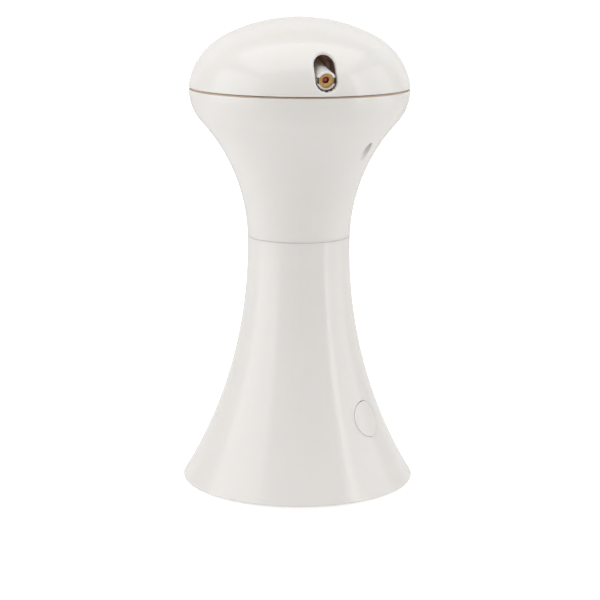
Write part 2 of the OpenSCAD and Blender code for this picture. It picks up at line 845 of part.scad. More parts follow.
module motor_pinion() {
    color("#E3D9BE") translate([motor_pos.x, motor_pos.y, 0]) {
        translate([0, 0, first_z - 0.2]) rotate(motor_turn) gear(motor_teeth, fine, wheel_w + 0.4);
        translate([0, 0, frame_z + nose_l + 0.2])
            cylinder(r = shaft_pin, h = first_z - frame_z, $fn = small_fn);
    }
}

module first_gear() {
    color("#E3D9BE") translate([first_pos.x, first_pos.y, 0]) difference() {
        union() {
            translate([0, 0, first_z]) gear(big_teeth, fine, wheel_w);
            translate([0, 0, first_z + wheel_w - 0.1]) rotate(first_turn)
                gear(small_teeth, fine, second_z - first_z + 0.6);
        }
        translate([0, 0, first_z - past])
            cylinder(r = axle_r + running, h = deck_z - first_z, $fn = small_fn);
    }
}

module second_gear() {
    color("#E3D9BE") translate([second_pos.x, second_pos.y, 0]) difference() {
        union() {
            translate([0, 0, second_z]) gear(big_teeth, fine, wheel_w);
            translate([0, 0, second_z + wheel_w - 0.1]) rotate(second_turn)
                gear(small_teeth, coarse, out_z + out_w - second_z - wheel_w + 0.6);
        }
        translate([0, 0, second_z - past])
            cylinder(r = axle_r + running, h = deck_z - second_z + past, $fn = small_fn);
    }
}

module gear_axles() {
    color(steel) for (p = [second_pos, first_pos]) translate([p.x, p.y, frame_z])
        cylinder(r = axle_r, h = deck_z - frame_z + axle_in - 0.1, $fn = small_fn);
}

// ---- Turning head -------------------------------------------------------

module output_gear() {
    color("#E3D9BE") difference() {
        union() {
            translate([0, 0, out_z]) gear(out_teeth, coarse, out_w);
            translate([0, 0, out_z])
                cylinder(r = bush_r, h = deck_z - bush_low - 0.1 - out_z, $fn = 2 * small_fn);
        }
        translate([0, 0, out_z - past])
            cylinder(r = shaft_r, h = out_w + 3 * past, $fn = 2 * small_fn);
    }
}

module retaining_ring() {
    color(steel) translate([0, 0, out_z - 0.1 - ring_t]) difference() {
        ring(shaft_r - 0.75, shaft_r + 2, ring_t - 0.1);
        rotate(-90) translate([0, -2, -past]) cube([shaft_r + 4, 4, 3]);
    }
}

module thrust_washer() {
    color("#F2F0E6") translate([0, 0, washer_z + 0.02])
        ring(shaft_r + 0.3, flange_r - 0.4, washer_t - 0.04, 2 * small_fn);
}

module slip_ring_board() {
    color(board_green) translate([0, 0, deck_top])
        ring(ring_in - 0.9, ring_out, ring_board_t, large_fn);
}

module slip_ring_tracks() {
    color("#C98B4A") for (k = [0:tracks - 1]) translate([0, 0, track_z])
        ring(ring_in + 0.6 + k * track_step, ring_in + 0.6 + k * track_step + track_w,
            track_t, large_fn);
}

// Tall round-ended slot through the dome in front of each laser
module laser_slot(i) {
    rotate(laser_turn + 180 * i) translate([head_r - 20, 0, slot_z]) rotate([90, 0, 90])
        linear_extrude(24) {
            circle(r = slot_r, $fn = 2 * small_fn);
            translate([0, slot_h - slot_w]) circle(r = slot_r, $fn = 2 * small_fn);
            translate([-slot_r, 0]) square([slot_w, slot_h - slot_w]);
        }
}

module dome_cover() {
    color(white) difference() {
        union() {
            shell(wall, dome_z, total_h + past);
            intersection() {
                tower(wall / 2, dome_z, total_h);
                for (k = [0:3]) rotate(laser_turn + dome_screw_turn + 90 * k)
                    translate([dome_screw_out, 0, turret_top])
                        cylinder(r = boss_r, h = 30, $fn = small_fn);
            }
        }
        for (i = [0, 1]) laser_slot(i);
        for (k = [0:3]) rotate(laser_turn + dome_screw_turn + 90 * k)
            translate([dome_screw_out, 0, turret_top - past])
                pilot(thread_l + pilot_rest + past);
    }
}

module turret_plate() {
    color(inner_white) difference() {
        union() {
            translate([0, 0, turret_z]) cylinder(r = turret_r, h = turret_t, $fn = large_fn);
            translate([0, 0, washer_z + washer_t])
                cylinder(r = flange_r, h = hub_t + 0.1, $fn = 2 * small_fn);
            translate([0, 0, shaft_low])
                cylinder(r = shaft_r, h = turret_z - shaft_low, $fn = 2 * small_fn);
            for (i = [0, 1]) at_laser(i) {
                for (s = [-1, 1]) translate([-stand_w / 2, s > 0 ? stand_y : -stand_y - stand_t,
                    turret_top - 0.1 - pivot_z])
                    cube([stand_w, stand_t, pivot_z - turret_top + 0.1]);
                translate([-tilt_gap - tilt_motor_x / 2, -tilt_motor_l + 4 - plate_t,
                    turret_top - 0.1 - pivot_z])
                    cube([tilt_motor_x, tilt_motor_l - 2,
                        pivot_z - tilt_motor_z / 2 - turret_top + 0.1]);
            }
        }
        translate([0, 0, shaft_low - past])
            cylinder(r = shaft_bore, h = turret_top - shaft_low + 2 * past, $fn = small_fn);
        translate([0, 0, out_z - 0.1 - ring_t])
            ring(shaft_r - 0.8, shaft_r + past, ring_t);
        for (i = [0, 1]) at_laser(i) rotate([90, 0, 0])
            cylinder(r = trunnion_r + running, h = 2 * (stand_y + stand_t + past),
                center = true, $fn = small_fn);
        for (k = [0:3]) rotate(laser_turn + dome_screw_turn + 90 * k)
            translate([dome_screw_out, 0, turret_z - past]) clear_hole(turret_t + 2 * past);
    }
}

module dome_screws() {
    color(steel) for (k = [0:3]) rotate(laser_turn + dome_screw_turn + 90 * k)
        translate([dome_screw_out, 0, turret_z]) screw(turret_t + thread_l);
}

module brush_block() {
    color("#2A2A2C") rotate(laser_turn + 90)
        translate([ring_in + 0.2, -4, turret_z - 0.5])
            cube([ring_out - ring_in - 0.6, 8, 0.5]);
}

module brush_contacts() {
    color("#C9A35B") for (k = [0:tracks - 1], s = [-1, 1]) rotate(laser_turn + 90)
        translate([ring_in + 0.9 + k * track_step, s > 0 ? 1 : -3, track_z + track_t + 0.15])
            cube([1.4, 2, turret_z - 0.5 - track_z - track_t - 0.15]);
}

module trunnion_caps() {
    color(inner_white) for (i = [0, 1]) at_laser(i) difference() {
        for (s = [-1, 1]) translate([-stand_w / 2, s > 0 ? stand_y : -stand_y - stand_t, 0])
            cube([stand_w, stand_t, cap_h]);
        rotate([90, 0, 0])
            cylinder(r = trunnion_r + running, h = 2 * (stand_y + stand_t + past),
                center = true, $fn = small_fn);
    }
}

// Tube of a laser's barrel along +Z, with a broken front edge
module barrel_tube() {
    l = barrel_l - barrel_back;
    translate([0, 0, barrel_back]) difference() {
        union() {
            cylinder(r = holder_r, h = l - barrel_edge, $fn = 2 * small_fn);
            translate([0, 0, l - barrel_edge])
                cylinder(r1 = holder_r, r2 = holder_r - barrel_edge, h = barrel_edge,
                    $fn = 2 * small_fn);
        }
        translate([0, 0, -past]) cylinder(r = bore_r, h = l + 2 * past, $fn = 2 * small_fn);
    }
}

// Side notches in the barrel's front end, h high
module front_notches(h) {
    translate([barrel_l - notch_l, -holder_r - past, -h / 2])
        cube([notch_l + past, 2 * (holder_r + past), h]);
}

// Lower half barrel with its trunnions and the toothed sector
module laser_holder(i) {
    color(white) {
        at_barrel(i) difference() {
            rotate([0, 90, 0]) barrel_tube();
            front_notches(notch_h);
            translate([barrel_back - past, -holder_r - past, 0])
                cube([barrel_l - barrel_back + 2 * past, 2 * (holder_r + past), holder_r + past]);
        }
        at_laser(i) {
            for (s = [-1, 1]) rotate([s * 90, 0, 0]) translate([0, 0, bore_r + 0.15])
                cylinder(r = trunnion_r, h = stand_y + stand_t - bore_r - 0.15, $fn = small_fn);
            translate([0, plate_y + plate_t, 0]) rotate([90, 0, 0]) sector(plate_t);
        }
    }
}

// Toothed sector with its spoke, t thick, about the pivot
module sector(t) {
    step = 360 / sector_teeth;
    rim = sector_r - 3.4 * tilt_size;
    a0 = (sector_first - 0.5) * step;
    a1 = (sector_last + 0.5) * step;
    low = sector_r - 1.15 * tilt_size;
    teeth = tooth_row(sector_teeth, tilt_size, sector_first, sector_last);
    linear_extrude(t) {
        polygon(concat([low * [cos(a0), sin(a0)]], teeth, [low * [cos(a1), sin(a1)]],
            [for (a = [a1:-step:a0]) rim * [cos(a), sin(a)]]));
        polygon([rim * [cos(a0), sin(a0)] * 1.01, rim * [cos(a1), sin(a1)] * 1.01,
            [-1, 0.2 - spoke_r], [-1, spoke_r - 0.2]]);
        circle(r = spoke_r, $fn = small_fn);
    }
}

// Upper half barrel that clamps the module
module holder_clamp(i) {
    color(white) at_barrel(i) difference() {
        rotate([0, 90, 0]) barrel_tube();
        front_notches(notch_h);
        translate([-2, -holder_r - past, -past]) cube([4, 2 * (holder_r + past), past + 2]);
        translate([barrel_back - past, -holder_r - past, -holder_r - past + clamp_gap])
            cube([barrel_l - barrel_back + 2 * past, 2 * (holder_r + past), holder_r + past]);
    }
}

// Brass module: a tube closed at the back, with its aperture and a ring cut in front
module laser_barrel(i) {
    l = module_l;
    color("#B8975A") at_barrel(i) rotate([0, 90, 0])
        translate([0, 0, barrel_l - l - front_set]) difference() {
            cylinder(r = module_r, h = l, $fn = 2 * small_fn);
            translate([0, 0, l - aperture_l])
                cylinder(r = aperture_r, h = aperture_l + past, $fn = small_fn);
            translate([0, 0, l - 0.5])
                cylinder(r1 = aperture_r, r2 = aperture_out, h = past, $fn = small_fn);
            translate([0, 0, l - ring_cut])
                ring(module_r - 2 * ring_cut, module_r - ring_cut, past);
            translate([0, 0, module_cap])
                cylinder(r = module_r - module_wall, h = l - aperture_l - module_cap,
                    $fn = small_fn);
        }
}

module laser_lens(i) {
    color("#B5302E") at_barrel(i) rotate([0, 90, 0])
        translate([0, 0, barrel_l - front_set - aperture_l - 0.2 - lens_t])
            cylinder(r = lens_r, h = lens_t, $fn = small_fn);
}

module laser_board(i) {
    color(board_green) at_barrel(i)
        translate([barrel_l - module_l - front_set - diode_l, -diode_x, -board_t / 2])
            cube([diode_l, 2 * diode_x, board_t]);
}

module tilt_motors() {
    color("#B4B6B8") for (i = [0, 1]) at_laser(i) translate([-tilt_gap, plate_y - 0.9, 0])
        rotate([90, 0, 0]) {
            intersection() {
                cylinder(r = tilt_motor_z / 2, h = tilt_motor_l, $fn = small_fn);
                translate([-tilt_motor_x / 2, -tilt_motor_z, -past])
                    cube([tilt_motor_x, 2 * tilt_motor_z, tilt_motor_l + 2 * past]);
            }
        }
}

module tilt_pinion(i) {
    color("#E3D9BE") at_laser(i) translate([-tilt_gap, plate_y + plate_t + 0.2, 0])
        rotate([90, 0, 0]) {
            rotate(180 / tilt_teeth) gear(tilt_teeth, tilt_size, plate_t + 0.4);
            cylinder(r = tilt_shaft_r, h = plate_t + 0.9, $fn = small_fn);
        }
}

module laser_holder_1() { laser_holder(0); }
module holder_clamp_1() { holder_clamp(0); }
module laser_barrel_1() { laser_barrel(0); }
module laser_lens_1() { laser_lens(0); }
module laser_board_1() { laser_board(0); }
module laser_holder_2() { laser_holder(1); }
module holder_clamp_2() { holder_clamp(1); }
module laser_barrel_2() { laser_barrel(1); }
module laser_lens_2() { laser_lens(1); }
module laser_board_2() { laser_board(1); }
module tilt_pinion_1() { tilt_pinion(0); }
module tilt_pinion_2() { tilt_pinion(1); }

base_shell();
bottom_cover();
battery_door();
rubber_feet();
aa_cells();
leaf_contacts();
plate_contacts();
cover_screws();
neck_screws();
play_button();
switch_plunger();
tact_switch();
button_board();
button_screws();
main_board();
board_parts();
board_screws();
neck_housing();
housing_screws();
deck_plate();
bearing_bush();
gear_frame();
frame_screws();
yaw_motor();
motor_pinion();
first_gear();
second_gear();
gear_axles();
output_gear();
retaining_ring();
thrust_washer();
slip_ring_board();
slip_ring_tracks();
dome_cover();
turret_plate();
dome_screws();
brush_block();
brush_contacts();
trunnion_caps();
laser_holder_1();
holder_clamp_1();
laser_barrel_1();
laser_lens_1();
laser_board_1();
laser_holder_2();
holder_clamp_2();
laser_barrel_2();
laser_lens_2();
laser_board_2();
tilt_motors();
tilt_pinion_1();
tilt_pinion_2();
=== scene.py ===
"""Looks of a laser tower for cats: its moulded shells, button, laser heads and stage.

The shells are turned surfaces whose openings have rolled lips. The tower's sizes are in
millimetres and become metres where a mesh is made. The studio's are in metres.
"""

import math

import bpy
from bpy.props import FloatProperty, FloatVectorProperty, PointerProperty
from mathutils import Matrix, Vector


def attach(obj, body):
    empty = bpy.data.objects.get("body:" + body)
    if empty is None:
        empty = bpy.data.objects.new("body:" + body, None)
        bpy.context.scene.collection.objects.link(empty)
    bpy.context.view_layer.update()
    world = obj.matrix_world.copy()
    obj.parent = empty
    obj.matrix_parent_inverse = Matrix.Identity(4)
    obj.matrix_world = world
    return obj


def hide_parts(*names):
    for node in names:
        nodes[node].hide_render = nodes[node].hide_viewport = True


bl_info = {
    "name": "Laser Tower Looks",
    "version": (1, 0, 0),
    "blender": (4, 5, 0),
    "location": "View3D > Sidebar > Laser Tower",
    "description": "Dresses the packed laser tower with shells, finishes and a studio",
    "category": "Object",
}

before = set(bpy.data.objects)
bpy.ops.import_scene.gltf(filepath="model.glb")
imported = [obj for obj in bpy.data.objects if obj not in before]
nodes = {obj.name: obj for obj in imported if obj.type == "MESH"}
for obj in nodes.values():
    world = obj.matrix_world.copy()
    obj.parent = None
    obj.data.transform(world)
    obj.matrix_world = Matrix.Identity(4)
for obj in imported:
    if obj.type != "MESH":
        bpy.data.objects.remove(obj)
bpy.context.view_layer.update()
MM = 0.001
ROLL_STEPS = 8  # faces across each rounded rim
LIP_STEPS = 4  # faces down the wall of an opening
DOME_JOINS = (13.2, 62.0)  # elevations in degrees at which the dome's curves meet
SMEAR_MM = 45.0  # size of the patches where handling has changed the gloss
FAR_OFF = 9.0  # edge distance of a point that no opening is near
LOOK_WITHIN = 4.0  # points this close to an opening's edge are looked at
ON_EDGE = 1e-4  # a point this close to an edge lies on it

# the second finish is the shells' inside, which carries a painted glow
SHELL_FINISHES = ("Gloss moulded ABS, white", "Moulded ABS inside wall, painted glow")

# ---------------------------------------------------------------- sizes


class TowerSizes(bpy.types.PropertyGroup):
    """Sizes of the moulded shells, in millimetres."""

    base_r: FloatProperty(
        name="Base radius", default=55.4, min=50, max=60,
        description="Radius at which the flare meets the floor")
    waist_r: FloatProperty(
        name="Waist radius", default=23.75,
        description="Radius of the narrowest part")
    waist_z: FloatProperty(
        name="Waist height", default=111.0,
        description="Height of the top of the flare")
    waist_straight: FloatProperty(
        name="Waist straight", default=3.3,
        description="Straight stretch at the waist")
    neck_h: FloatProperty(
        name="Neck height", default=69.9,
        description="From the waist to the widest part of the head")
    head_r: FloatProperty(
        name="Head radius", default=50.68,
        description="Radius of the head where the dome turns")
    shoulder_r: FloatProperty(
        name="Shoulder radius", default=22.0,
        description="Radius of the curve below the dome")
    dome_low_r: FloatProperty(
        name="Lower dome radius", default=17.14,
        description="Radius of the dome's lower curve")
    dome_mid_r: FloatProperty(
        name="Middle dome radius", default=30.59,
        description="Radius of the dome's middle curve")
    wall: FloatProperty(name="Wall", description="Wall thickness of the shells", default=2.2)
    edge_round: FloatProperty(
        name="Foot edge", default=0.4,
        description="Rounding of the base's bottom edge")
    foot_h: FloatProperty(name="Foot height", description="Height of the rubber feet", default=1.6)
    seam_mid: FloatProperty(
        name="Fixed seam", default=116.5,
        description="Height of the seam at the waist")
    fixed_gap: FloatProperty(
        name="Fixed seam gap", default=0.15,
        description="Width of the seam at the waist")
    turn_gap: FloatProperty(name="Turning gap", description="Open gap below the dome", default=0.85)
    seam_round: FloatProperty(
        name="Turning seam edge", default=0.35,
        description="Rounding of the edges below the dome")
    waist_round: FloatProperty(
        name="Waist seam edge", default=0.12,
        description="Rounding of the edges at the waist")
    lip_in: FloatProperty(
        name="Rim lip place", default=1.1,
        description="How far in the neck's rim lip stands")
    lip_h: FloatProperty(
        name="Rim lip height", default=0.5,
        description="Height of the lip on the neck's rim")


class OpeningSizes(bpy.types.PropertyGroup):
    """Sizes of the openings in the shells, in millimetres, and their directions."""

    laser_turn: FloatProperty(
        name="Laser direction", default=math.radians(-132.5), subtype="ANGLE",
        description="Direction of the first laser from +X")
    slot_w: FloatProperty(name="Slot width", description="Width of each laser slot", default=10.0)
    slot_h: FloatProperty(name="Slot height", description="Height of each laser slot", default=16.2)
    slot_low: FloatProperty(
        name="Slot foot", default=187.0,
        description="Height of each slot's lower end")
    slot_lip: FloatProperty(
        name="Slot lip", default=1.0,
        description="Radius of the rolled edge of a slot")
    button_z: FloatProperty(
        name="Button height", default=34.0,
        description="Height of the button's centre")
    button_r: FloatProperty(
        name="Button radius", default=8.4,
        description="Radius of the play button")
    button_gap: FloatProperty(
        name="Button gap", default=0.2,
        description="Gap around the play button")
    button_dish: FloatProperty(
        name="Button dish", default=0.35,
        description="Depth of the finger dish")
    button_lip: FloatProperty(
        name="Button lip", default=0.2,
        description="Rounding of the edges at the button")
    shaft_r: FloatProperty(
        name="Screw shaft radius", default=2.5,
        description="Radius of the screw shafts")
    shaft_out: FloatProperty(
        name="Screw shaft place", default=36.3,
        description="Distance of the shafts from the axis")
    shaft_top: FloatProperty(
        name="Screw shaft end", default=166.0,
        description="Height at which a shaft ends")


def hex_colour(name, text, description):
    """A colour property whose default is an sRGB hex value."""
    return FloatVectorProperty(name=name, description=description, subtype="COLOR", size=4,
                               default=linear(text), min=0.0, max=1.0)


def linear(text):
    """An sRGB hex value as a linear colour with full alpha."""
    parts = [int(text[i:i + 2], 16) / 255 for i in (1, 3, 5)]
    return (*(c / 12.92 if c <= 0.04045 else ((c + 0.055) / 1.055) ** 2.4 for c in parts), 1.0)


def darker(colour, share):
    """A colour taken down to a share of its level, with full alpha."""
    return (*(c * share for c in colour[:3]), 1.0)


class FinishColours(bpy.types.PropertyGroup):
    """Colours that a user would change."""

    shell: hex_colour("Shell", "#EDEBE9", "Gloss ABS of the outer shells")
    inner: hex_colour("Inner", "#D6C6B4", "Natural ABS inside and below")
    brass: hex_colour("Brass", "#CBA66C", "Turned brass of the laser modules")
    rubber: hex_colour("Rubber", "#2E2E30", "Rubber of the feet")
    jacket: hex_colour("Battery jacket", "#2F5F73", "Plain shrink sleeve of the cells")
    beam: hex_colour("Laser red", "#AA211D", "Glow of the laser's lens")


class StudioSizes(bpy.types.PropertyGroup):
    """The camera and the lamps."""

    camera_turn: FloatProperty(
        name="Camera turn", default=math.radians(-56.5), subtype="ANGLE",
        description="Direction of the camera round the tower")
    camera_far: FloatProperty(
        name="Camera distance", default=0.85865, unit="LENGTH",
        description="Level distance from the tower's axis")
    camera_high: FloatProperty(
        name="Camera height", default=0.26149, unit="LENGTH",
        description="Height above the floor")
    camera_pitch: FloatProperty(
        name="Camera pitch", default=math.radians(11.602), subtype="ANGLE",
        description="Downward pitch")
    camera_roll: FloatProperty(
        name="Camera roll", default=0.0056, subtype="ANGLE",
        description="Roll about the line of sight")
    lens: FloatProperty(name="Lens", description="Focal length on a 36 mm sensor", default=112.35)
    left_level: FloatProperty(
        name="Left panel", default=1.17,
        description="Brightness of the broad left softbox")
    right_level: FloatProperty(
        name="Right panel", default=0.77,
        description="Brightness of the broad right softbox")
    strip_level: FloatProperty(
        name="Strip lamp", default=1.55,
        description="Brightness of the narrow right softbox")
    top_level: FloatProperty(
        name="Top lamp", default=1.24,
        description="Brightness of the overhead softbox")
    back_level: FloatProperty(
        name="Backdrop", default=0.34,
        description="Brightness of the white backdrop")
    world_level: FloatProperty(
        name="World level", default=0.445,
        description="Strength of the even light all round")
    world_tint: hex_colour("World tint", "#FFFBF5",
                           "Colour of the even light, warmer than the lamps")


# ------------------------------------------------------------ materials


def add(tree, kind, inputs=None, links=(), **settings):
    """Adds a shader node, sets its values and links (input name, source socket) pairs."""
    n = tree.nodes.new(kind)
    for key, value in settings.items():
        setattr(n, key, value)
    for key, value in (inputs or {}).items():
        n.inputs[key].default_value = value
    for key, source in links:
        tree.links.new(source, n.inputs[key])
    return n


def fresh(name):
    """An empty node material with its output; the tree and the output node."""
    material = bpy.data.materials.new(name)
    material.use_nodes = True
    material.node_tree.nodes.clear()
    return material, material.node_tree, add(material.node_tree, "ShaderNodeOutputMaterial")


def moulded_plastic(name, colour, roughness, grain_mm, relief_mm, ior=1.53, depth_mm=0.0, glow=0.0):
    """Injection-moulded plastic: a body colour, the tool's faint waviness in the gloss
    and a slightly uneven roughness where the surface has been handled. A depth lets light
    pass that far into the plastic, which warms narrow gaps and openings. A glow is painted
    light: a dim brown emission that stands in for the light that comes through the wall
    from its other side."""
    material, tree, out = fresh(name)
    place = add(tree, "ShaderNodeTexCoord")
    wave = add(tree, "ShaderNodeTexNoise", {"Scale": 1000 / grain_mm, "Detail": 1.0},
               [("Vector", place.outputs["Object"])])
    smear = add(tree, "ShaderNodeTexNoise", {"Scale": 1000 / SMEAR_MM, "Detail": 0.0},
                [("Vector", place.outputs["Object"])])
    rough = add(tree, "ShaderNodeMapRange",
                {"To Min": roughness - 0.02, "To Max": roughness + 0.03},
                [("Value", smear.outputs["Fac"])])
    tone = add(tree, "ShaderNodeMix", {"A": darker(colour, 0.99), "B": tuple(colour)},
               [("Factor", smear.outputs["Fac"])], data_type="RGBA")
    bump = add(tree, "ShaderNodeBump", {"Strength": 1.0, "Distance": relief_mm * MM},
               [("Height", wave.outputs["Fac"])])
    # the emission is painted light: when a glow is set, a dim brown stands in for light coming
    # through the wall
    body = add(tree, "ShaderNodeBsdfPrincipled",
               {"IOR": ior, "Metallic": 0.0, "Subsurface Weight": 0.5 if depth_mm else 0.0,
                "Subsurface Scale": max(depth_mm, 0.1) * MM, "Subsurface Radius": (1.0, 0.80, 0.62),
                "Emission Color": linear("#AC8A74"), "Emission Strength": glow},
               [("Base Color", tone.outputs["Result"]), ("Roughness", rough.outputs["Result"]),
                ("Normal", bump.outputs["Normal"])])
    tree.links.new(body.outputs["BSDF"], out.inputs["Surface"])
    return material


def worked_metal(name, colour, roughness, line_mm, axis_scale, relief_mm=0.004):
    """Machined or plated metal: fine tool lines stretched along one direction."""
    material, tree, out = fresh(name)
    place = add(tree, "ShaderNodeTexCoord")
    stretch = add(tree, "ShaderNodeMapping", {"Scale": axis_scale},
                  [("Vector", place.outputs["Object"])])
    lines = add(tree, "ShaderNodeTexNoise", {"Scale": 1000 / line_mm, "Detail": 3.0},
                [("Vector", stretch.outputs["Vector"])])
    rough = add(tree, "ShaderNodeMapRange",
                {"To Min": roughness - 0.06, "To Max": roughness + 0.08},
                [("Value", lines.outputs["Fac"])])
    tone = add(tree, "ShaderNodeMix", {"A": darker(colour, 0.86), "B": tuple(colour)},
               [("Factor", lines.outputs["Fac"])], data_type="RGBA")
    bump = add(tree, "ShaderNodeBump", {"Strength": 1.0, "Distance": relief_mm * MM},
               [("Height", lines.outputs["Fac"])])
    body = add(tree, "ShaderNodeBsdfPrincipled", {"Metallic": 1.0},
               [("Base Color", tone.outputs["Result"]), ("Roughness", rough.outputs["Result"]),
                ("Normal", bump.outputs["Normal"])])
    tree.links.new(body.outputs["BSDF"], out.inputs["Surface"])
    return material


def finishes():
    """All finishes of the tower by name, made once."""
    if SHELL_FINISHES[0] in bpy.data.materials:
        return bpy.data.materials
    c = bpy.context.scene.tower_colours
    # Polished tool: clear reflections with a very slow waviness, the gloss of the shells
    moulded_plastic(SHELL_FINISHES[0], c.shell, 0.16, 40.0, 0.006, depth_mm=3.0)
    # Spark-eroded tool: an even, fine grain that kills the gloss; unpigmented ABS is
    # ivory, so light that bounces inside the shells turns brown
    moulded_plastic("Textured moulded ABS, natural", c.inner, 0.48, 0.9, 0.020)
    # The shells' unpolished inside, with a painted glow: a dim brown emission stands in for
    # daylight coming through the thin wall
    moulded_plastic(SHELL_FINISHES[1], c.inner, 0.50, 0.9, 0.020, glow=0.08)
    # Natural acetal is waxy and slightly see-through, so its gloss is broad
    moulded_plastic("Moulded acetal, natural", linear("#E3D9BE"), 0.38, 4.0, 0.006, 1.48)
    # Filled rubber scatters nearly all light; its skin has a fine grain
    moulded_plastic("Moulded rubber, black", c.rubber, 0.72, 0.7, 0.030, 1.50)
    # Phenolic and nylon of switches and chips: dull black
    moulded_plastic("Moulded nylon, black", linear("#232325"), 0.50, 0.8, 0.012)
    # Solder mask over glass laminate: green varnish with a faint weave below
    moulded_plastic("Circuit laminate, green mask", linear("#2C6A45"), 0.30, 1.2, 0.008)
    # Heat-shrunk film: glossy, pulled slightly uneven over the can
    moulded_plastic("Shrink film, plain", c.jacket, 0.25, 6.0, 0.020)
    # Skived PTFE: waxy white
    moulded_plastic("Skived PTFE, white", linear("#ECEAE2"), 0.45, 2.0, 0.005, 1.35)
    # Nickel or zinc plate over drawn steel: pale, satin, faint drawing lines
    worked_metal("Plated steel, satin", linear("#B4B6B8"), 0.30, 0.5, (1.0, 1.0, 0.2))
    # Free-cutting brass from the lathe: fine rings, warm yellow
    worked_metal("Turned brass", c.brass, 0.33, 0.35, (1.0, 1.0, 1.0), 0.010)
    # Sintered bronze: slightly porous, oil-darkened
    worked_metal("Sintered bronze", linear("#A97F43"), 0.45, 0.4, (1.0, 1.0, 1.0), 0.015)
    # Plated copper tracks, polished by the brushes that run on them
    worked_metal("Polished copper track", linear("#C07F4C"), 0.22, 0.6, (1.0, 1.0, 0.2), 0.002)
    return bpy.data.materials


def lit_lens(name, centre):
    """Clear acrylic laser lens: dark glass with the diode's small red spot in its middle."""
    colour = bpy.context.scene.tower_colours.beam
    spot_edge, spot_core = 1.25 * MM, 0.50 * MM
    material, tree, out = fresh(name)
    place = add(tree, "ShaderNodeTexCoord")
    reach = add(tree, "ShaderNodeVectorMath", {1: centre}, [(0, place.outputs["Object"])],
                operation="DISTANCE")
    spot = add(tree, "ShaderNodeMapRange", {"From Min": spot_edge, "From Max": spot_core},
               [("Value", reach.outputs["Value"])], interpolation_type="SMOOTHSTEP")
    tone = add(tree, "ShaderNodeMix", {"A": linear("#2A1210"), "B": tuple(colour)},
               [("Factor", spot.outputs["Result"])], data_type="RGBA")
    body = add(tree, "ShaderNodeBsdfPrincipled", {"Roughness": 0.12, "IOR": 1.49},
               [("Base Color", tone.outputs["Result"]), ("Emission Color", tone.outputs["Result"]),
                ("Emission Strength", spot.outputs["Result"])])
    tree.links.new(body.outputs["BSDF"], out.inputs["Surface"])
    return material


def dress(node_names, finish):
    """Gives CAD nodes a finish and smooth shading by angle."""
    material = finish if isinstance(finish, bpy.types.Material) else finishes()[finish]
    for name in node_names:
        piece = nodes[name]
        for slot in piece.material_slots:
            slot.material = material
        if not piece.material_slots:
            piece.data.materials.append(material)
        weld = piece.modifiers.new("Join the shared corners", "WELD")
        weld.merge_threshold = 0.001 * MM
        for face in piece.data.polygons:
            face.use_smooth = True
        smooth_by_angle(piece)


def smooth_by_angle(piece, angle=32.0):
    """Keeps real edges sharp and shades curved faces smoothly, after the weld."""
    split = piece.modifiers.new("Keep the real edges", "EDGE_SPLIT")
    split.split_angle = math.radians(angle)
    split.use_edge_sharp = False


# ------------------------------------------------------- turned outline


class Outline:
    """The tower's half section: five tangent arcs and a straight waist."""

    def __init__(self, s):
        self.s = s
        drop = s.base_r - s.waist_r
        self.flare_arc = (drop ** 2 + s.waist_z ** 2) / (2 * drop)
        self.flare_x = s.waist_r + self.flare_arc
        self.neck_z = s.waist_z + s.waist_straight
        self.seam_z = self.neck_z + s.neck_h
        out = s.head_r - s.waist_r
        arc_sum = (out ** 2 + s.neck_h ** 2) / (2 * out)
        self.neck_arc = arc_sum - s.shoulder_r
        self.neck_x = s.waist_r + self.neck_arc
        self.shoulder_x = s.head_r - s.shoulder_r
        self.join = math.asin(s.neck_h / arc_sum)
        self.a1, self.a2 = a1, a2 = [math.radians(a) for a in DOME_JOINS]
        self.c1 = Vector((s.head_r - s.dome_low_r, self.seam_z))
        self.c2 = self.c1 + (s.dome_low_r - s.dome_mid_r) * Vector((math.cos(a1), math.sin(a1)))
        self.crown_r = s.dome_mid_r + self.c2.x / math.cos(a2)
        self.c3 = self.c2 + (s.dome_mid_r - self.crown_r) * Vector((math.cos(a2), math.sin(a2)))
        self.top = self.c3.y + self.crown_r

    def radius(self, z, t=0.0):
        """Radius at height z of the outline moved inward by t."""
        s = self.s
        join_z = self.seam_z - (s.shoulder_r - t) * math.sin(self.join)
        low_z = self.c1.y + (s.dome_low_r - t) * math.sin(self.a1)
        mid_z = self.c2.y + (s.dome_mid_r - t) * math.sin(self.a2)
        if z <= s.waist_z:
            return self.flare_x - math.sqrt((self.flare_arc + t) ** 2 - (s.waist_z - z) ** 2)
        if z <= self.neck_z:
            return s.waist_r - t
        if z <= join_z:
            return self.neck_x - math.sqrt((self.neck_arc + t) ** 2 - (z - self.neck_z) ** 2)
        if z <= self.seam_z:
            return self.shoulder_x + math.sqrt((s.shoulder_r - t) ** 2 - (self.seam_z - z) ** 2)
        if z <= low_z:
            return self.c1.x + math.sqrt((s.dome_low_r - t) ** 2 - (z - self.c1.y) ** 2)
        if z <= mid_z:
            return self.c2.x + math.sqrt((s.dome_mid_r - t) ** 2 - (z - self.c2.y) ** 2)
        return math.sqrt(max(0.0, (self.crown_r - t) ** 2 - (z - self.c3.y) ** 2))

    def normal(self, r, z):
        """Outward direction of the outline at height z, as (radial, up)."""
        s = self.s
        if z <= s.waist_z:
            v = Vector((self.flare_x - r, s.waist_z - z))
        elif z <= self.neck_z:
            v = Vector((1.0, 0.0))
        elif z <= self.seam_z - s.shoulder_r * math.sin(self.join):
            v = Vector((self.neck_x - r, self.neck_z - z))
        elif z <= self.seam_z:
            v = Vector((r - self.shoulder_x, z - self.seam_z))
        elif z <= self.c1.y + s.dome_low_r * math.sin(self.a1):
            v = Vector((r, z)) - self.c1
        elif z <= self.c2.y + s.dome_mid_r * math.sin(self.a2):
            v = Vector((r, z)) - self.c2
        else:
            v = Vector((r, z)) - self.c3
        return v.normalized()


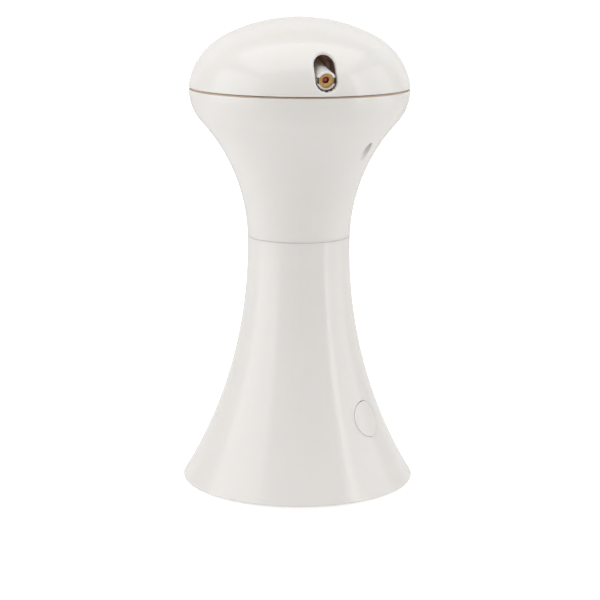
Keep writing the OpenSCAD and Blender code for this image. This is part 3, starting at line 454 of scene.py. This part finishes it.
def rows_between(z0, z1, coarse, fine_spans=(), fine=0.2):
    """Heights from z0 to z1: a fine step inside the given spans and a coarse one elsewhere."""
    marks = sorted({z0, z1, *[min(max(v, z0), z1) for span in fine_spans for v in span]})
    heights = [z0]
    for low, high in zip(marks, marks[1:]):
        inside = any(a <= (low + high) / 2 <= b for a, b in fine_spans)
        count = max(1, math.ceil((high - low) / (fine if inside else coarse)))
        heights += [low + (high - low) * (k + 1) / count for k in range(count)]
    return heights


def turns(fine_spans, coarse, fine):
    """Angles round the tower in degrees: fine inside the spans and coarse elsewhere."""
    return rows_between(-180.0, 180.0, coarse, fine_spans, fine)[:-1]


class Opening:
    """An opening cut square to a plane: its frame, its edge distance and its lip."""

    def __init__(self, centre, across, up, out, distance, lip, depth, reach, floor=False):
        self.centre, self.across, self.up, self.out = centre, across, up, out
        self.distance, self.lip, self.depth, self.reach = distance, lip, depth, reach
        self.floor = floor

    def deeper(self, p, share):
        """A point moved inward: by a share of the depth, or of the way to a flat floor."""
        way = self.depth + (self.flat(p)[2] if self.floor else 0.0)
        return p - self.out * way * share

    def flat(self, p):
        """A point's place in the opening's plane and its height over it."""
        v = p - self.centre
        return v.dot(self.across), v.dot(self.up), v.dot(self.out)

    def edge(self, p):
        """Distance of a point outside the edge; endless where the opening can't be."""
        a, b, h = self.flat(p)
        if abs(h) > self.reach:
            return math.inf
        return self.distance(a, b)

    def slope(self, p):
        """Direction in the plane in which the edge distance grows."""
        a, b, _ = self.flat(p)
        e = 0.01
        da = self.distance(a + e, b) - self.distance(a - e, b)
        db = self.distance(a, b + e) - self.distance(a, b - e)
        return (self.across * da + self.up * db).normalized()


def onto_surface(outline, p, direction):
    """Slides a point along a direction until it lies on the outline."""
    probe, longest = 0.01, 0.8
    for _ in range(12):
        miss = math.hypot(p.x, p.y) - outline.radius(p.z)
        q = p + direction * probe
        rate = (math.hypot(q.x, q.y) - outline.radius(q.z) - miss) / probe
        if abs(miss) < 1e-5 or abs(rate) < 1e-6:
            break
        p = p - direction * max(-longest, min(longest, miss / rate))
    return p


def ring(points, directions, r, z):
    """Adds a ring of points at a radius and a height, and gives their places in the list."""
    first = len(points)
    points += [Vector((d.x * r, d.y * r, z)) for d in directions]
    return list(range(first, len(points)))


def turned_shell(name, outline, z_rows, angles, openings, rim_low, rim_high, inner_rows):
    """A turned shell with rolled lips at its openings. rim_low and rim_high are
    lists of (radius, height) that close the wall from outside to inside."""
    points, normals, faces = [], [], []
    directions = [Vector((math.cos(math.radians(a)), math.sin(math.radians(a)), 0))
                  for a in angles]
    n = len(angles)
    grid = []
    for z in z_rows:
        r = outline.radius(z)
        nr, nz = outline.normal(r, z)
        grid.append(ring(points, directions, r, z))
        normals += [Vector((d.x * nr, d.y * nr, nz)) for d in directions]
    quads = []
    for i in range(len(grid) - 1):
        for j in range(n):
            k = (j + 1) % n
            quads.append((grid[i][j], grid[i][k], grid[i + 1][k], grid[i + 1][j]))
    for hole in openings:
        quads = cut_opening(outline, points, normals, quads, hole, faces)
    # rims: rows that run from the outer edge round to the inner wall, which takes the
    # second finish where the rounding ends
    inner_faces = []
    for rim, edge_row, flip in ((rim_low, grid[0], True), (rim_high, grid[-1], False)):
        if not rim:
            continue
        last = edge_row
        for step, (r, z) in enumerate(rim):
            row = ring(points, directions, r, z)
            kind = faces if step < ROLL_STEPS else inner_faces
            for j in range(n):
                k = (j + 1) % n
                q = (last[j], last[k], row[k], row[j])
                kind.append(tuple(reversed(q)) if flip else q)
            last = row
    # inner wall, plain, with the same openings left out
    previous = None
    for r, z in inner_rows:
        row = ring(points, directions, r, z)
        if previous:
            for j in range(n):
                k = (j + 1) % n
                q = (previous[j], row[j], row[k], previous[k])
                middle = (points[q[0]] + points[q[2]]) / 2
                if all(hole.edge(middle) > 0 for hole in openings):
                    inner_faces.append(q)
        previous = row
    return build_mesh(name, points, quads + faces + inner_faces, len(quads) + len(faces))


def sides(q):
    """The sides of a face as pairs of points, in order."""
    return zip(q, q[1:] + q[:1])


def cut_opening(outline, points, normals, quads, hole, faces):
    """Cuts one opening out of a grid: moves the nearest points to its edge, rolls the
    lip inward and adds the wall of the opening to faces."""
    away = {}
    for v in {v for q in quads for v in q}:
        e = hole.edge(points[v])
        if e < LOOK_WITHIN:
            away[v] = e
    moved = set()
    for q in quads:
        for a, b in sides(q):
            ea, eb = away.get(a, FAR_OFF), away.get(b, FAR_OFF)
            if ea * eb < 0:
                moved.add(a if abs(ea) < abs(eb) else b)
    for v in moved:
        p = points[v]
        for _ in range(3):
            p = p - hole.slope(p) * hole.edge(p)
            p = onto_surface(outline, p, hole.out)
        points[v] = p
        away[v] = 0.0
    on_edge = {v for v, e in away.items() if e < ON_EDGE}
    kept = []
    for q in quads:
        stay = [v for v in q if away.get(v, FAR_OFF) > -ON_EDGE]
        if len(stay) == len(q):
            if on_edge.issuperset(stay):
                middle = sum((points[v] for v in q), Vector()) / len(q)
                if hole.edge(middle) < 0:
                    continue
            kept.append(q)
        elif len(stay) == 3 and any(away.get(v, FAR_OFF) > ON_EDGE for v in stay):
            kept.append(tuple(stay))
    # a side that only one kept face has runs along the opening's rim
    ends = {(a, b): True for q in kept for a, b in sides(q) if a in on_edge and b in on_edge}
    rim = [(a, b) for a, b in ends if (b, a) not in ends]
    for v, e in away.items():
        if -ON_EDGE < e < hole.lip:
            roll = hole.lip - math.sqrt(max(0.0, hole.lip ** 2 - (hole.lip - max(e, 0.0)) ** 2))
            points[v] = points[v] - normals[v] * roll
    level = {v: v for pair in rim for v in pair}
    for k in range(LIP_STEPS):
        lower = {}
        for v in level:
            lower[v] = len(points)
            points.append(hole.deeper(points[v], (k + 1) / LIP_STEPS))
            normals.append(hole.out)
        for a, b in rim:
            faces.append((level[b], level[a], lower[a], lower[b]))
        level = lower
    if hole.floor:
        middle = len(points)
        points.append(sum((points[v] for v in level.values()), Vector()) / len(level))
        normals.append(hole.out)
        for a, b in rim:
            faces.append((level[b], level[a], middle))
    return kept


def build_mesh(name, points, faces, inside_from=None):
    """A smooth mesh object from millimetre points, with unused points left out. Faces
    from inside_from on take the second finish."""
    used = sorted({v for f in faces for v in f})
    place = {v: i for i, v in enumerate(used)}
    mesh = bpy.data.meshes.new(name)
    mesh.from_pydata([points[v] * MM for v in used], [], [[place[v] for v in f] for f in faces])
    for face in mesh.polygons:
        face.use_smooth = True
        face.material_index = int(inside_from is not None and face.index >= inside_from)
    mesh.validate()
    piece = bpy.data.objects.new(name, mesh)
    bpy.context.scene.collection.objects.link(piece)
    return piece


def stand_for(piece, node, body, slot, *finish_names):
    """Puts a finished piece in the place of a CAD node."""
    for name in finish_names:
        piece.data.materials.append(finishes()[name])
    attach(piece, body)
    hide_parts(node)
    smooth_by_angle(piece, 40.0)


def rolled(r_edge, z_edge, radius, outward, upward):
    """Quarter round from the face at an edge to the flat end: (radius, height) pairs."""
    pairs = []
    for k in range(1, ROLL_STEPS + 1):
        a = math.pi / 2 * k / ROLL_STEPS
        pairs.append((r_edge - outward * radius * (1 - math.cos(a)),
                      z_edge + upward * radius * math.sin(a)))
    return pairs


def slot_openings(tower, opening):
    """The two laser slots: tall round-ended openings cut level through the dome."""
    half = opening.slot_w / 2
    plane_out = 47.0  # distance from the axis of the plane that each slot is drawn on
    low, high = opening.slot_low + half, opening.slot_low + opening.slot_h - half

    def distance(a, b):
        return math.hypot(a, b - max(0.0, min(high - low, b))) - half

    result = []
    for turn in (opening.laser_turn, opening.laser_turn + math.pi):
        out = Vector((math.cos(turn), math.sin(turn), 0))
        across = Vector((-out.y, out.x, 0))
        centre = out * plane_out + Vector((0, 0, low))
        result.append(Opening(centre, across, Vector((0, 0, 1)), out, distance,
                              lip=opening.slot_lip, depth=tower.wall, reach=9.0))
    return result


def button_frame(outline, opening):
    """Centre, across, up and outward directions of the play button."""
    r = outline.radius(opening.button_z)
    nr, nz = outline.normal(r, opening.button_z)
    out = Vector((0, -nr, nz))
    across = Vector((1, 0, 0))
    return Vector((0, -r, opening.button_z)), across, out.cross(across), out


# ------------------------------------------------------------ operators


class LASERTOWER_OT_base_shell(bpy.types.Operator):
    """Turns the flared base with its rounded foot edge and the hole for the button"""

    bl_idname = "lasertower.base_shell"
    bl_label = "Base Shell"

    def execute(self, context):
        s, o = context.scene.tower_sizes, context.scene.tower_openings
        outline = Outline(s)
        e = s.edge_round
        cz = s.foot_h + e
        cx = outline.flare_x - math.sqrt((outline.flare_arc + e) ** 2 - (s.waist_z - cz) ** 2)
        lean = math.atan2(s.waist_z - cz, outline.flare_x - cx)
        start = cz + e * math.sin(lean)
        top = s.seam_mid - s.fixed_gap / 2
        centre, across, up, out = button_frame(outline, o)
        hole_r = o.button_r + o.button_gap
        hole = Opening(centre, across, up, out, lambda a, b: math.hypot(a, b) - hole_r,
                       lip=o.button_lip, depth=5.0, reach=6.0)
        # the faces are finer round the button
        fine_across, fine_up = 10.5, 11.0
        half_turn = math.degrees(fine_across / math.hypot(centre.x, centre.y))
        rows = rows_between(start, top - s.waist_round, 1.2,
                            [(centre.z - fine_up, centre.z + fine_up)], 0.22)
        angles = turns([(-90 - half_turn, -90 + half_turn)], 1.5, 0.36)
        sweeps = [lean - k * (lean + math.pi / 2) / ROLL_STEPS for k in range(1, ROLL_STEPS + 1)]
        foot = [(cx + e * math.cos(a), cz + e * math.sin(a)) for a in sweeps]
        # then the seat of the bottom cover
        seat_z, seat_play = s.foot_h + 2.2, 0.4
        seat_r = outline.radius(seat_z, s.wall)
        foot += [(seat_r + seat_play, s.foot_h), (seat_r + seat_play, seat_z), (seat_r, seat_z)]
        # a low step behind the edge closes most of the seam, as a spigot does
        step_r, step_z = s.waist_r - 0.22, top + 0.85 * s.fixed_gap
        inner_r = s.waist_r - s.wall
        rim = rolled(s.waist_r, top - s.waist_round, s.waist_round, 1, 1)
        rim += [(step_r, top), (step_r, step_z), (inner_r, step_z), (inner_r, top)]
        inside = [(outline.radius(z, s.wall), z) for z in rows_between(seat_z, top, 3.0)]
        piece = turned_shell("base_shell_moulding", outline, rows, angles, [hole],
                             foot, rim, inside)
        stand_for(piece, "base_shell", "base", "shell_white", *SHELL_FINISHES)
        return {"FINISHED"}


class LASERTOWER_OT_neck_housing(bpy.types.Operator):
    """Turns the neck and shoulder with the two screw shafts that open below the head"""

    bl_idname = "lasertower.neck_housing"
    bl_label = "Neck Housing"

    def execute(self, context):
        s, o = context.scene.tower_sizes, context.scene.tower_openings
        outline = Outline(s)
        low, top = s.seam_mid + s.fixed_gap / 2, outline.seam_z
        holes = []
        mouth_z = 157.0  # about where the shafts come out of the neck
        for side in (-1, 1):
            holes.append(Opening(Vector((0, side * o.shaft_out, mouth_z)), Vector((1, 0, 0)),
                                 Vector((0, 1, 0)), Vector((0, 0, -1)),
                                 lambda a, b: math.hypot(a, b) - o.shaft_r, lip=0.3,
                                 depth=o.shaft_top - mouth_z, reach=9.0, floor=True))
        # the faces are finer round both mouths
        mouth_rows = (151.0, 164.0)
        rows = rows_between(low + s.waist_round, top - s.seam_round, 1.2, [mouth_rows], 0.16)
        angles = turns([(a - 6, a + 6) for a in (-90, 90)], 1.5, 0.25)
        foot = rolled(s.waist_r, low + s.waist_round, s.waist_round, 1, -1)
        foot += [(s.waist_r - s.wall, low)]
        edge = outline.radius(top - s.seam_round)
        lip_r, inner_r = s.head_r - s.lip_in, s.head_r - s.wall
        rim = rolled(edge, top - s.seam_round, s.seam_round, 1, 1)
        rim += [(lip_r, top), (lip_r, top + s.lip_h), (inner_r, top + s.lip_h), (inner_r, top)]
        inside = [(outline.radius(z, s.wall), z) for z in rows_between(low, top, 3.0)]
        piece = turned_shell("neck_housing_moulding", outline, rows, angles, holes,
                             foot, rim, inside)
        stand_for(piece, "neck_housing", "base", "shell_white", *SHELL_FINISHES)
        return {"FINISHED"}


class LASERTOWER_OT_dome_cover(bpy.types.Operator):
    """Turns the dome and cuts the two laser slots with their rolled lips"""

    bl_idname = "lasertower.dome_cover"
    bl_label = "Dome Cover"

    def execute(self, context):
        s, o = context.scene.tower_sizes, context.scene.tower_openings
        outline = Outline(s)
        low = outline.seam_z + s.turn_gap
        slots = slot_openings(s, o)
        # the last rows stand at even angles, so that the crown closes smoothly
        crown, *crown_rest = [outline.c3.y + outline.crown_r * math.cos(math.radians(a))
                              for a in (3.0, 2.4, 1.8, 1.2, 0.6, 0.15)]
        rows = rows_between(low + s.seam_round, crown, 0.9,
                            [(low + s.seam_round, o.slot_low + o.slot_h + 2)], 0.2)
        rows += crown_rest
        turn = math.degrees(o.laser_turn)
        # the faces are finer round both slots
        angles = turns([(a - 9, a + 9) for a in (turn, turn + 180)], 1.5, 0.22)
        foot = rolled(outline.radius(low + s.seam_round), low + s.seam_round, s.seam_round, 1, -1)
        foot += [(outline.radius(low, s.wall), low)]
        inside = [(outline.radius(z, s.wall), z)
                  for z in rows_between(low, outline.top - s.wall - 0.01, 0.8)]
        piece = turned_shell("dome_cover_moulding", outline, rows, angles, slots, foot, [], inside)
        stand_for(piece, "dome_cover", "head", "shell_white", *SHELL_FINISHES)
        return {"FINISHED"}


class LASERTOWER_OT_play_button(bpy.types.Operator):
    """Moulds the flush play button with its shallow dish and rounded edge"""

    bl_idname = "lasertower.play_button"
    bl_label = "Play Button"

    def execute(self, context):
        s, o = context.scene.tower_sizes, context.scene.tower_openings
        outline = Outline(s)
        centre, across, up, out = button_frame(outline, o)
        # the cap hangs a little low in its hole
        centre = centre - up * 0.35 * o.button_gap
        rings, spokes = 30, 96
        points = [onto_surface(outline, centre, out) - out * o.button_dish]
        faces, last = [], None
        edge_start = o.button_r - o.button_lip
        radii = [edge_start * (k + 1) / rings for k in range(rings)]
        radii += [edge_start + o.button_lip * math.sin(math.pi / 2 * k / 6) for k in range(1, 7)]
        turns_round = [2 * math.pi * k / spokes for k in range(spokes)]
        for r in radii:
            row = []
            for a in turns_round:
                p = centre + across * (r * math.cos(a)) + up * (r * math.sin(a))
                p = onto_surface(outline, p, out)
                # a dish as deep as the property says, that fades out at the edge
                dish = o.button_dish * max(0.0, 1 - (r / edge_start) ** 2)
                over = max(0.0, r - edge_start)
                roll = o.button_lip - math.sqrt(max(0.0, o.button_lip ** 2 - over ** 2))
                p -= out * (dish + roll)
                row.append(len(points))
                points.append(p)
            for k in range(spokes):
                m = (k + 1) % spokes
                if last:
                    faces.append((last[k], row[k], row[m], last[m]))
                else:
                    faces.append((0, row[k], row[m]))
            last = row
        # (deeper, wider) steps: the rounded edge, a flange that closes the gap, its side
        # and the skirt. The flange has a relief notch at its top
        flange_w = 0.6 * o.button_gap
        notch_from, notch_full = 0.88, 0.94
        for depth, wide in ((o.button_lip, 0.0), (0.05, flange_w), (1.2, 0.0), (3.0, 0.0)):
            row = []
            for k, a in enumerate(turns_round):
                notch = (math.sin(a) - notch_from) / (notch_full - notch_from)
                step = across * math.cos(a) + up * math.sin(a)
                step *= wide * (1 - max(0.0, min(1.0, notch)))
                row.append(len(points))
                points.append(points[last[k]] + step - out * depth)
            for k in range(spokes):
                m = (k + 1) % spokes
                faces.append((last[k], row[k], row[m], last[m]))
            last = row
        piece = build_mesh("play_button_cap", points, faces)
        stand_for(piece, "play_button", "play_button", "shell_white", SHELL_FINISHES[0])
        return {"FINISHED"}


class LASERTOWER_OT_laser_heads(bpy.types.Operator):
    """Finishes the barrels, clamps, brass modules and lenses of both lasers"""

    bl_idname = "lasertower.laser_heads"
    bl_label = "Laser Heads"

    def execute(self, context):
        for i in ("1", "2"):
            dress(["laser_holder_" + i, "holder_clamp_" + i], SHELL_FINISHES[0])
            dress(["laser_barrel_" + i], "Turned brass")
            lens = nodes["laser_lens_" + i]
            corners = [lens.matrix_world @ Vector(c) for c in lens.bound_box]
            middle = sum(corners, Vector()) / 8
            dress([lens.name], lit_lens("Moulded acrylic lens " + i + ", lit red", tuple(middle)))
            dress(["laser_board_" + i], "Circuit laminate, green mask")
        return {"FINISHED"}


class LASERTOWER_OT_inner_mouldings(bpy.types.Operator):
    """Finishes the covers, plates and caps that are plain mouldings"""

    bl_idname = "lasertower.inner_mouldings"
    bl_label = "Inner Mouldings"

    def execute(self, context):
        dress(["bottom_cover", "battery_door", "deck_plate", "gear_frame", "turret_plate",
               "trunnion_caps"], "Textured moulded ABS, natural")
        dress(["rubber_feet"], "Moulded rubber, black")
        dress(["thrust_washer"], "Skived PTFE, white")
        return {"FINISHED"}


class LASERTOWER_OT_gear_train(bpy.types.Operator):
    """Finishes the gears, axles, bush and motors"""

    bl_idname = "lasertower.gear_train"
    bl_label = "Gear Train"

    def execute(self, context):
        dress(["motor_pinion", "first_gear", "second_gear", "output_gear", "tilt_pinion_1",
               "tilt_pinion_2"], "Moulded acetal, natural")
        dress(["gear_axles", "retaining_ring", "yaw_motor", "tilt_motors"], "Plated steel, satin")
        dress(["bearing_bush"], "Sintered bronze")
        return {"FINISHED"}


class LASERTOWER_OT_electrics(bpy.types.Operator):
    """Finishes the boards, switch, slip ring, contacts, cells and screws"""

    bl_idname = "lasertower.electrics"
    bl_label = "Electrics"

    def execute(self, context):
        dress(["button_board", "main_board", "slip_ring_board"], "Circuit laminate, green mask")
        dress(["switch_plunger", "tact_switch", "board_parts", "brush_block"],
              "Moulded nylon, black")
        dress(["slip_ring_tracks", "brush_contacts"], "Polished copper track")
        dress(["aa_cells"], "Shrink film, plain")
        dress(["leaf_contacts", "plate_contacts", "cover_screws", "neck_screws",
               "button_screws", "board_screws", "housing_screws", "frame_screws",
               "dome_screws"], "Plated steel, satin")
        return {"FINISHED"}


class LASERTOWER_OT_stage(bpy.types.Operator):
    """Sets the white floor, the even world, the softboxes and the camera"""

    bl_idname = "lasertower.stage"
    bl_label = "Studio"

    def execute(self, context):
        studio = context.scene.tower_studio
        white_world(context.scene, studio.world_level, studio.world_tint)
        floor = build_floor()
        turn = studio.camera_turn
        softbox("Left panel", turn, -70, 0.62, 0.16, (0.68, 0.9), studio.left_level)
        softbox("Right panel", turn, 84, 0.62, 0.16, (0.56, 0.9), studio.right_level)
        softbox("Right strip", turn, 63, 0.60, 0.16, (0.10, 0.9), studio.strip_level)
        softbox("Overhead softbox", turn, 4, 0.10, 0.90, (1.3, 0.80), studio.top_level)
        softbox("Backdrop glow", turn, 180, 1.10, 0.50, (2.4, 1.2), studio.back_level)
        place_camera(context.scene, studio)
        context.scene.view_settings.view_transform = "Standard"
        return {"FINISHED"}


def white_world(scene, level, tint):
    """Even light of the given level and tint, shown as plain white to the camera."""
    world = bpy.data.worlds.new("White studio")
    scene.world = world
    world.use_nodes = True
    tree = world.node_tree
    tree.nodes.clear()
    out = add(tree, "ShaderNodeOutputWorld")
    path = add(tree, "ShaderNodeLightPath")
    seen = add(tree, "ShaderNodeMath", {},
               [(0, path.outputs["Is Camera Ray"]), (1, path.outputs["Is Transmission Ray"])],
               operation="MAXIMUM")
    strength = add(tree, "ShaderNodeMapRange", {"To Min": level, "To Max": 1.0},
                   [("Value", seen.outputs[0])])
    colour = add(tree, "ShaderNodeMix", {"A": tuple(tint), "B": (1.0, 1.0, 1.0, 1.0)},
                 [("Factor", seen.outputs[0])], data_type="RGBA")
    light = add(tree, "ShaderNodeBackground", {},
                [("Color", colour.outputs["Result"]), ("Strength", strength.outputs["Result"])])
    tree.links.new(light.outputs[0], out.inputs["Surface"])


def build_floor():
    """A wide white floor that keeps the tower's shadow."""
    half = 20000.0  # in millimetres, wide enough to reach past every view
    corners = [Vector((x * half, y * half, 0)) for x, y in ((-1, -1), (1, -1), (1, 1), (-1, 1))]
    floor = build_mesh("studio_floor", corners, [(0, 1, 2, 3)])
    material, tree, out = fresh("Painted white floor")
    place = add(tree, "ShaderNodeTexCoord")
    speck = add(tree, "ShaderNodeTexNoise", {"Scale": 1000 / 60.0},
                [("Vector", place.outputs["Object"])])
    rough = add(tree, "ShaderNodeMapRange", {"To Min": 0.75, "To Max": 0.85},
                [("Value", speck.outputs["Fac"])])
    path = add(tree, "ShaderNodeLightPath")
    body = add(tree, "ShaderNodeBsdfPrincipled", {"Base Color": linear("#F4F4F4"), "IOR": 1.2},
               [("Roughness", rough.outputs["Result"])])
    glow = add(tree, "ShaderNodeEmission", {"Color": (1.0, 1.0, 1.0, 1.0), "Strength": 0.80})
    both = add(tree, "ShaderNodeAddShader", {}, [(0, body.outputs["BSDF"]), (1, glow.outputs[0])])
    pick = add(tree, "ShaderNodeMixShader", {}, [("Fac", path.outputs["Is Camera Ray"]),
                                                 (1, body.outputs["BSDF"]), (2, both.outputs[0])])
    tree.links.new(pick.outputs[0], out.inputs["Surface"])
    floor.data.materials.append(material)
    return floor


def softbox(name, turn, side, far, high, size, level):
    """An area lamp at an angle beside the camera's direction, aimed at the tower, whose
    face is as bright as the level says, where white paper in full light is 1."""
    lamp = bpy.data.lights.new(name, "AREA")
    lamp.shape = "RECTANGLE"
    lamp.size, lamp.size_y = size
    lamp.energy = level * math.pi * size[0] * size[1]
    holder = bpy.data.objects.new(name, lamp)
    bpy.context.scene.collection.objects.link(holder)
    a = turn + math.radians(side)
    holder.location = (math.sin(a) * far, -math.cos(a) * far, high)
    half_way_up = Vector((0, 0, 0.11))
    aim = half_way_up - Vector(holder.location)
    holder.rotation_euler = aim.to_track_quat("-Z", "Y").to_euler()
    holder.visible_camera = False


def place_camera(scene, studio):
    """The camera at the photograph's viewing angle."""
    data = bpy.data.cameras.new("Camera")
    data.lens, data.sensor_width = studio.lens, 36.0
    # the tower's place in the 600-pixel frame, in pixels off the middle
    data.shift_x, data.shift_y = 1.6 / 600, 0.5 / 600
    camera = bpy.data.objects.new("Camera", data)
    scene.collection.objects.link(camera)
    a, p = studio.camera_turn, studio.camera_pitch
    camera.location = (math.sin(a) * studio.camera_far, -math.cos(a) * studio.camera_far,
                       studio.camera_high)
    look = Vector((-math.sin(a) * math.cos(p), math.cos(a) * math.cos(p), -math.sin(p)))
    turn = look.to_track_quat("-Z", "Y").to_matrix() @ Matrix.Rotation(studio.camera_roll, 3, "Z")
    camera.rotation_euler = turn.to_euler()
    scene.camera = camera


STEPS = (
    LASERTOWER_OT_base_shell,
    LASERTOWER_OT_neck_housing,
    LASERTOWER_OT_dome_cover,
    LASERTOWER_OT_play_button,
    LASERTOWER_OT_laser_heads,
    LASERTOWER_OT_inner_mouldings,
    LASERTOWER_OT_gear_train,
    LASERTOWER_OT_electrics,
    LASERTOWER_OT_stage,
)


class LASERTOWER_PT_looks(bpy.types.Panel):
    """Lists the tower's sizes, colours and building steps"""

    bl_label = "Laser Tower"
    bl_idname = "LASERTOWER_PT_looks"
    bl_space_type = "VIEW_3D"
    bl_region_type = "UI"
    bl_category = "Laser Tower"

    def draw(self, context):
        for group in ("tower_sizes", "tower_openings", "tower_colours", "tower_studio"):
            box = self.layout.box()
            settings = getattr(context.scene, group)
            for name in settings.bl_rna.properties.keys():
                if name not in ("rna_type", "name"):
                    box.prop(settings, name)
        for step in STEPS:
            self.layout.operator(step.bl_idname)


GROUPS = {
    "tower_sizes": TowerSizes,
    "tower_openings": OpeningSizes,
    "tower_colours": FinishColours,
    "tower_studio": StudioSizes,
}


def register():
    for cls in (*GROUPS.values(), *STEPS, LASERTOWER_PT_looks):
        bpy.utils.register_class(cls)
    for name, cls in GROUPS.items():
        setattr(bpy.types.Scene, name, PointerProperty(type=cls))


def unregister():
    for name in GROUPS:
        delattr(bpy.types.Scene, name)
    for cls in (LASERTOWER_PT_looks, *reversed(STEPS), *GROUPS.values()):
        bpy.utils.unregister_class(cls)


def main():
    register()
    for step in STEPS:
        group, name = step.bl_idname.split(".")
        getattr(getattr(bpy.ops, group), name)()


if __name__ == "__main__":
    main()
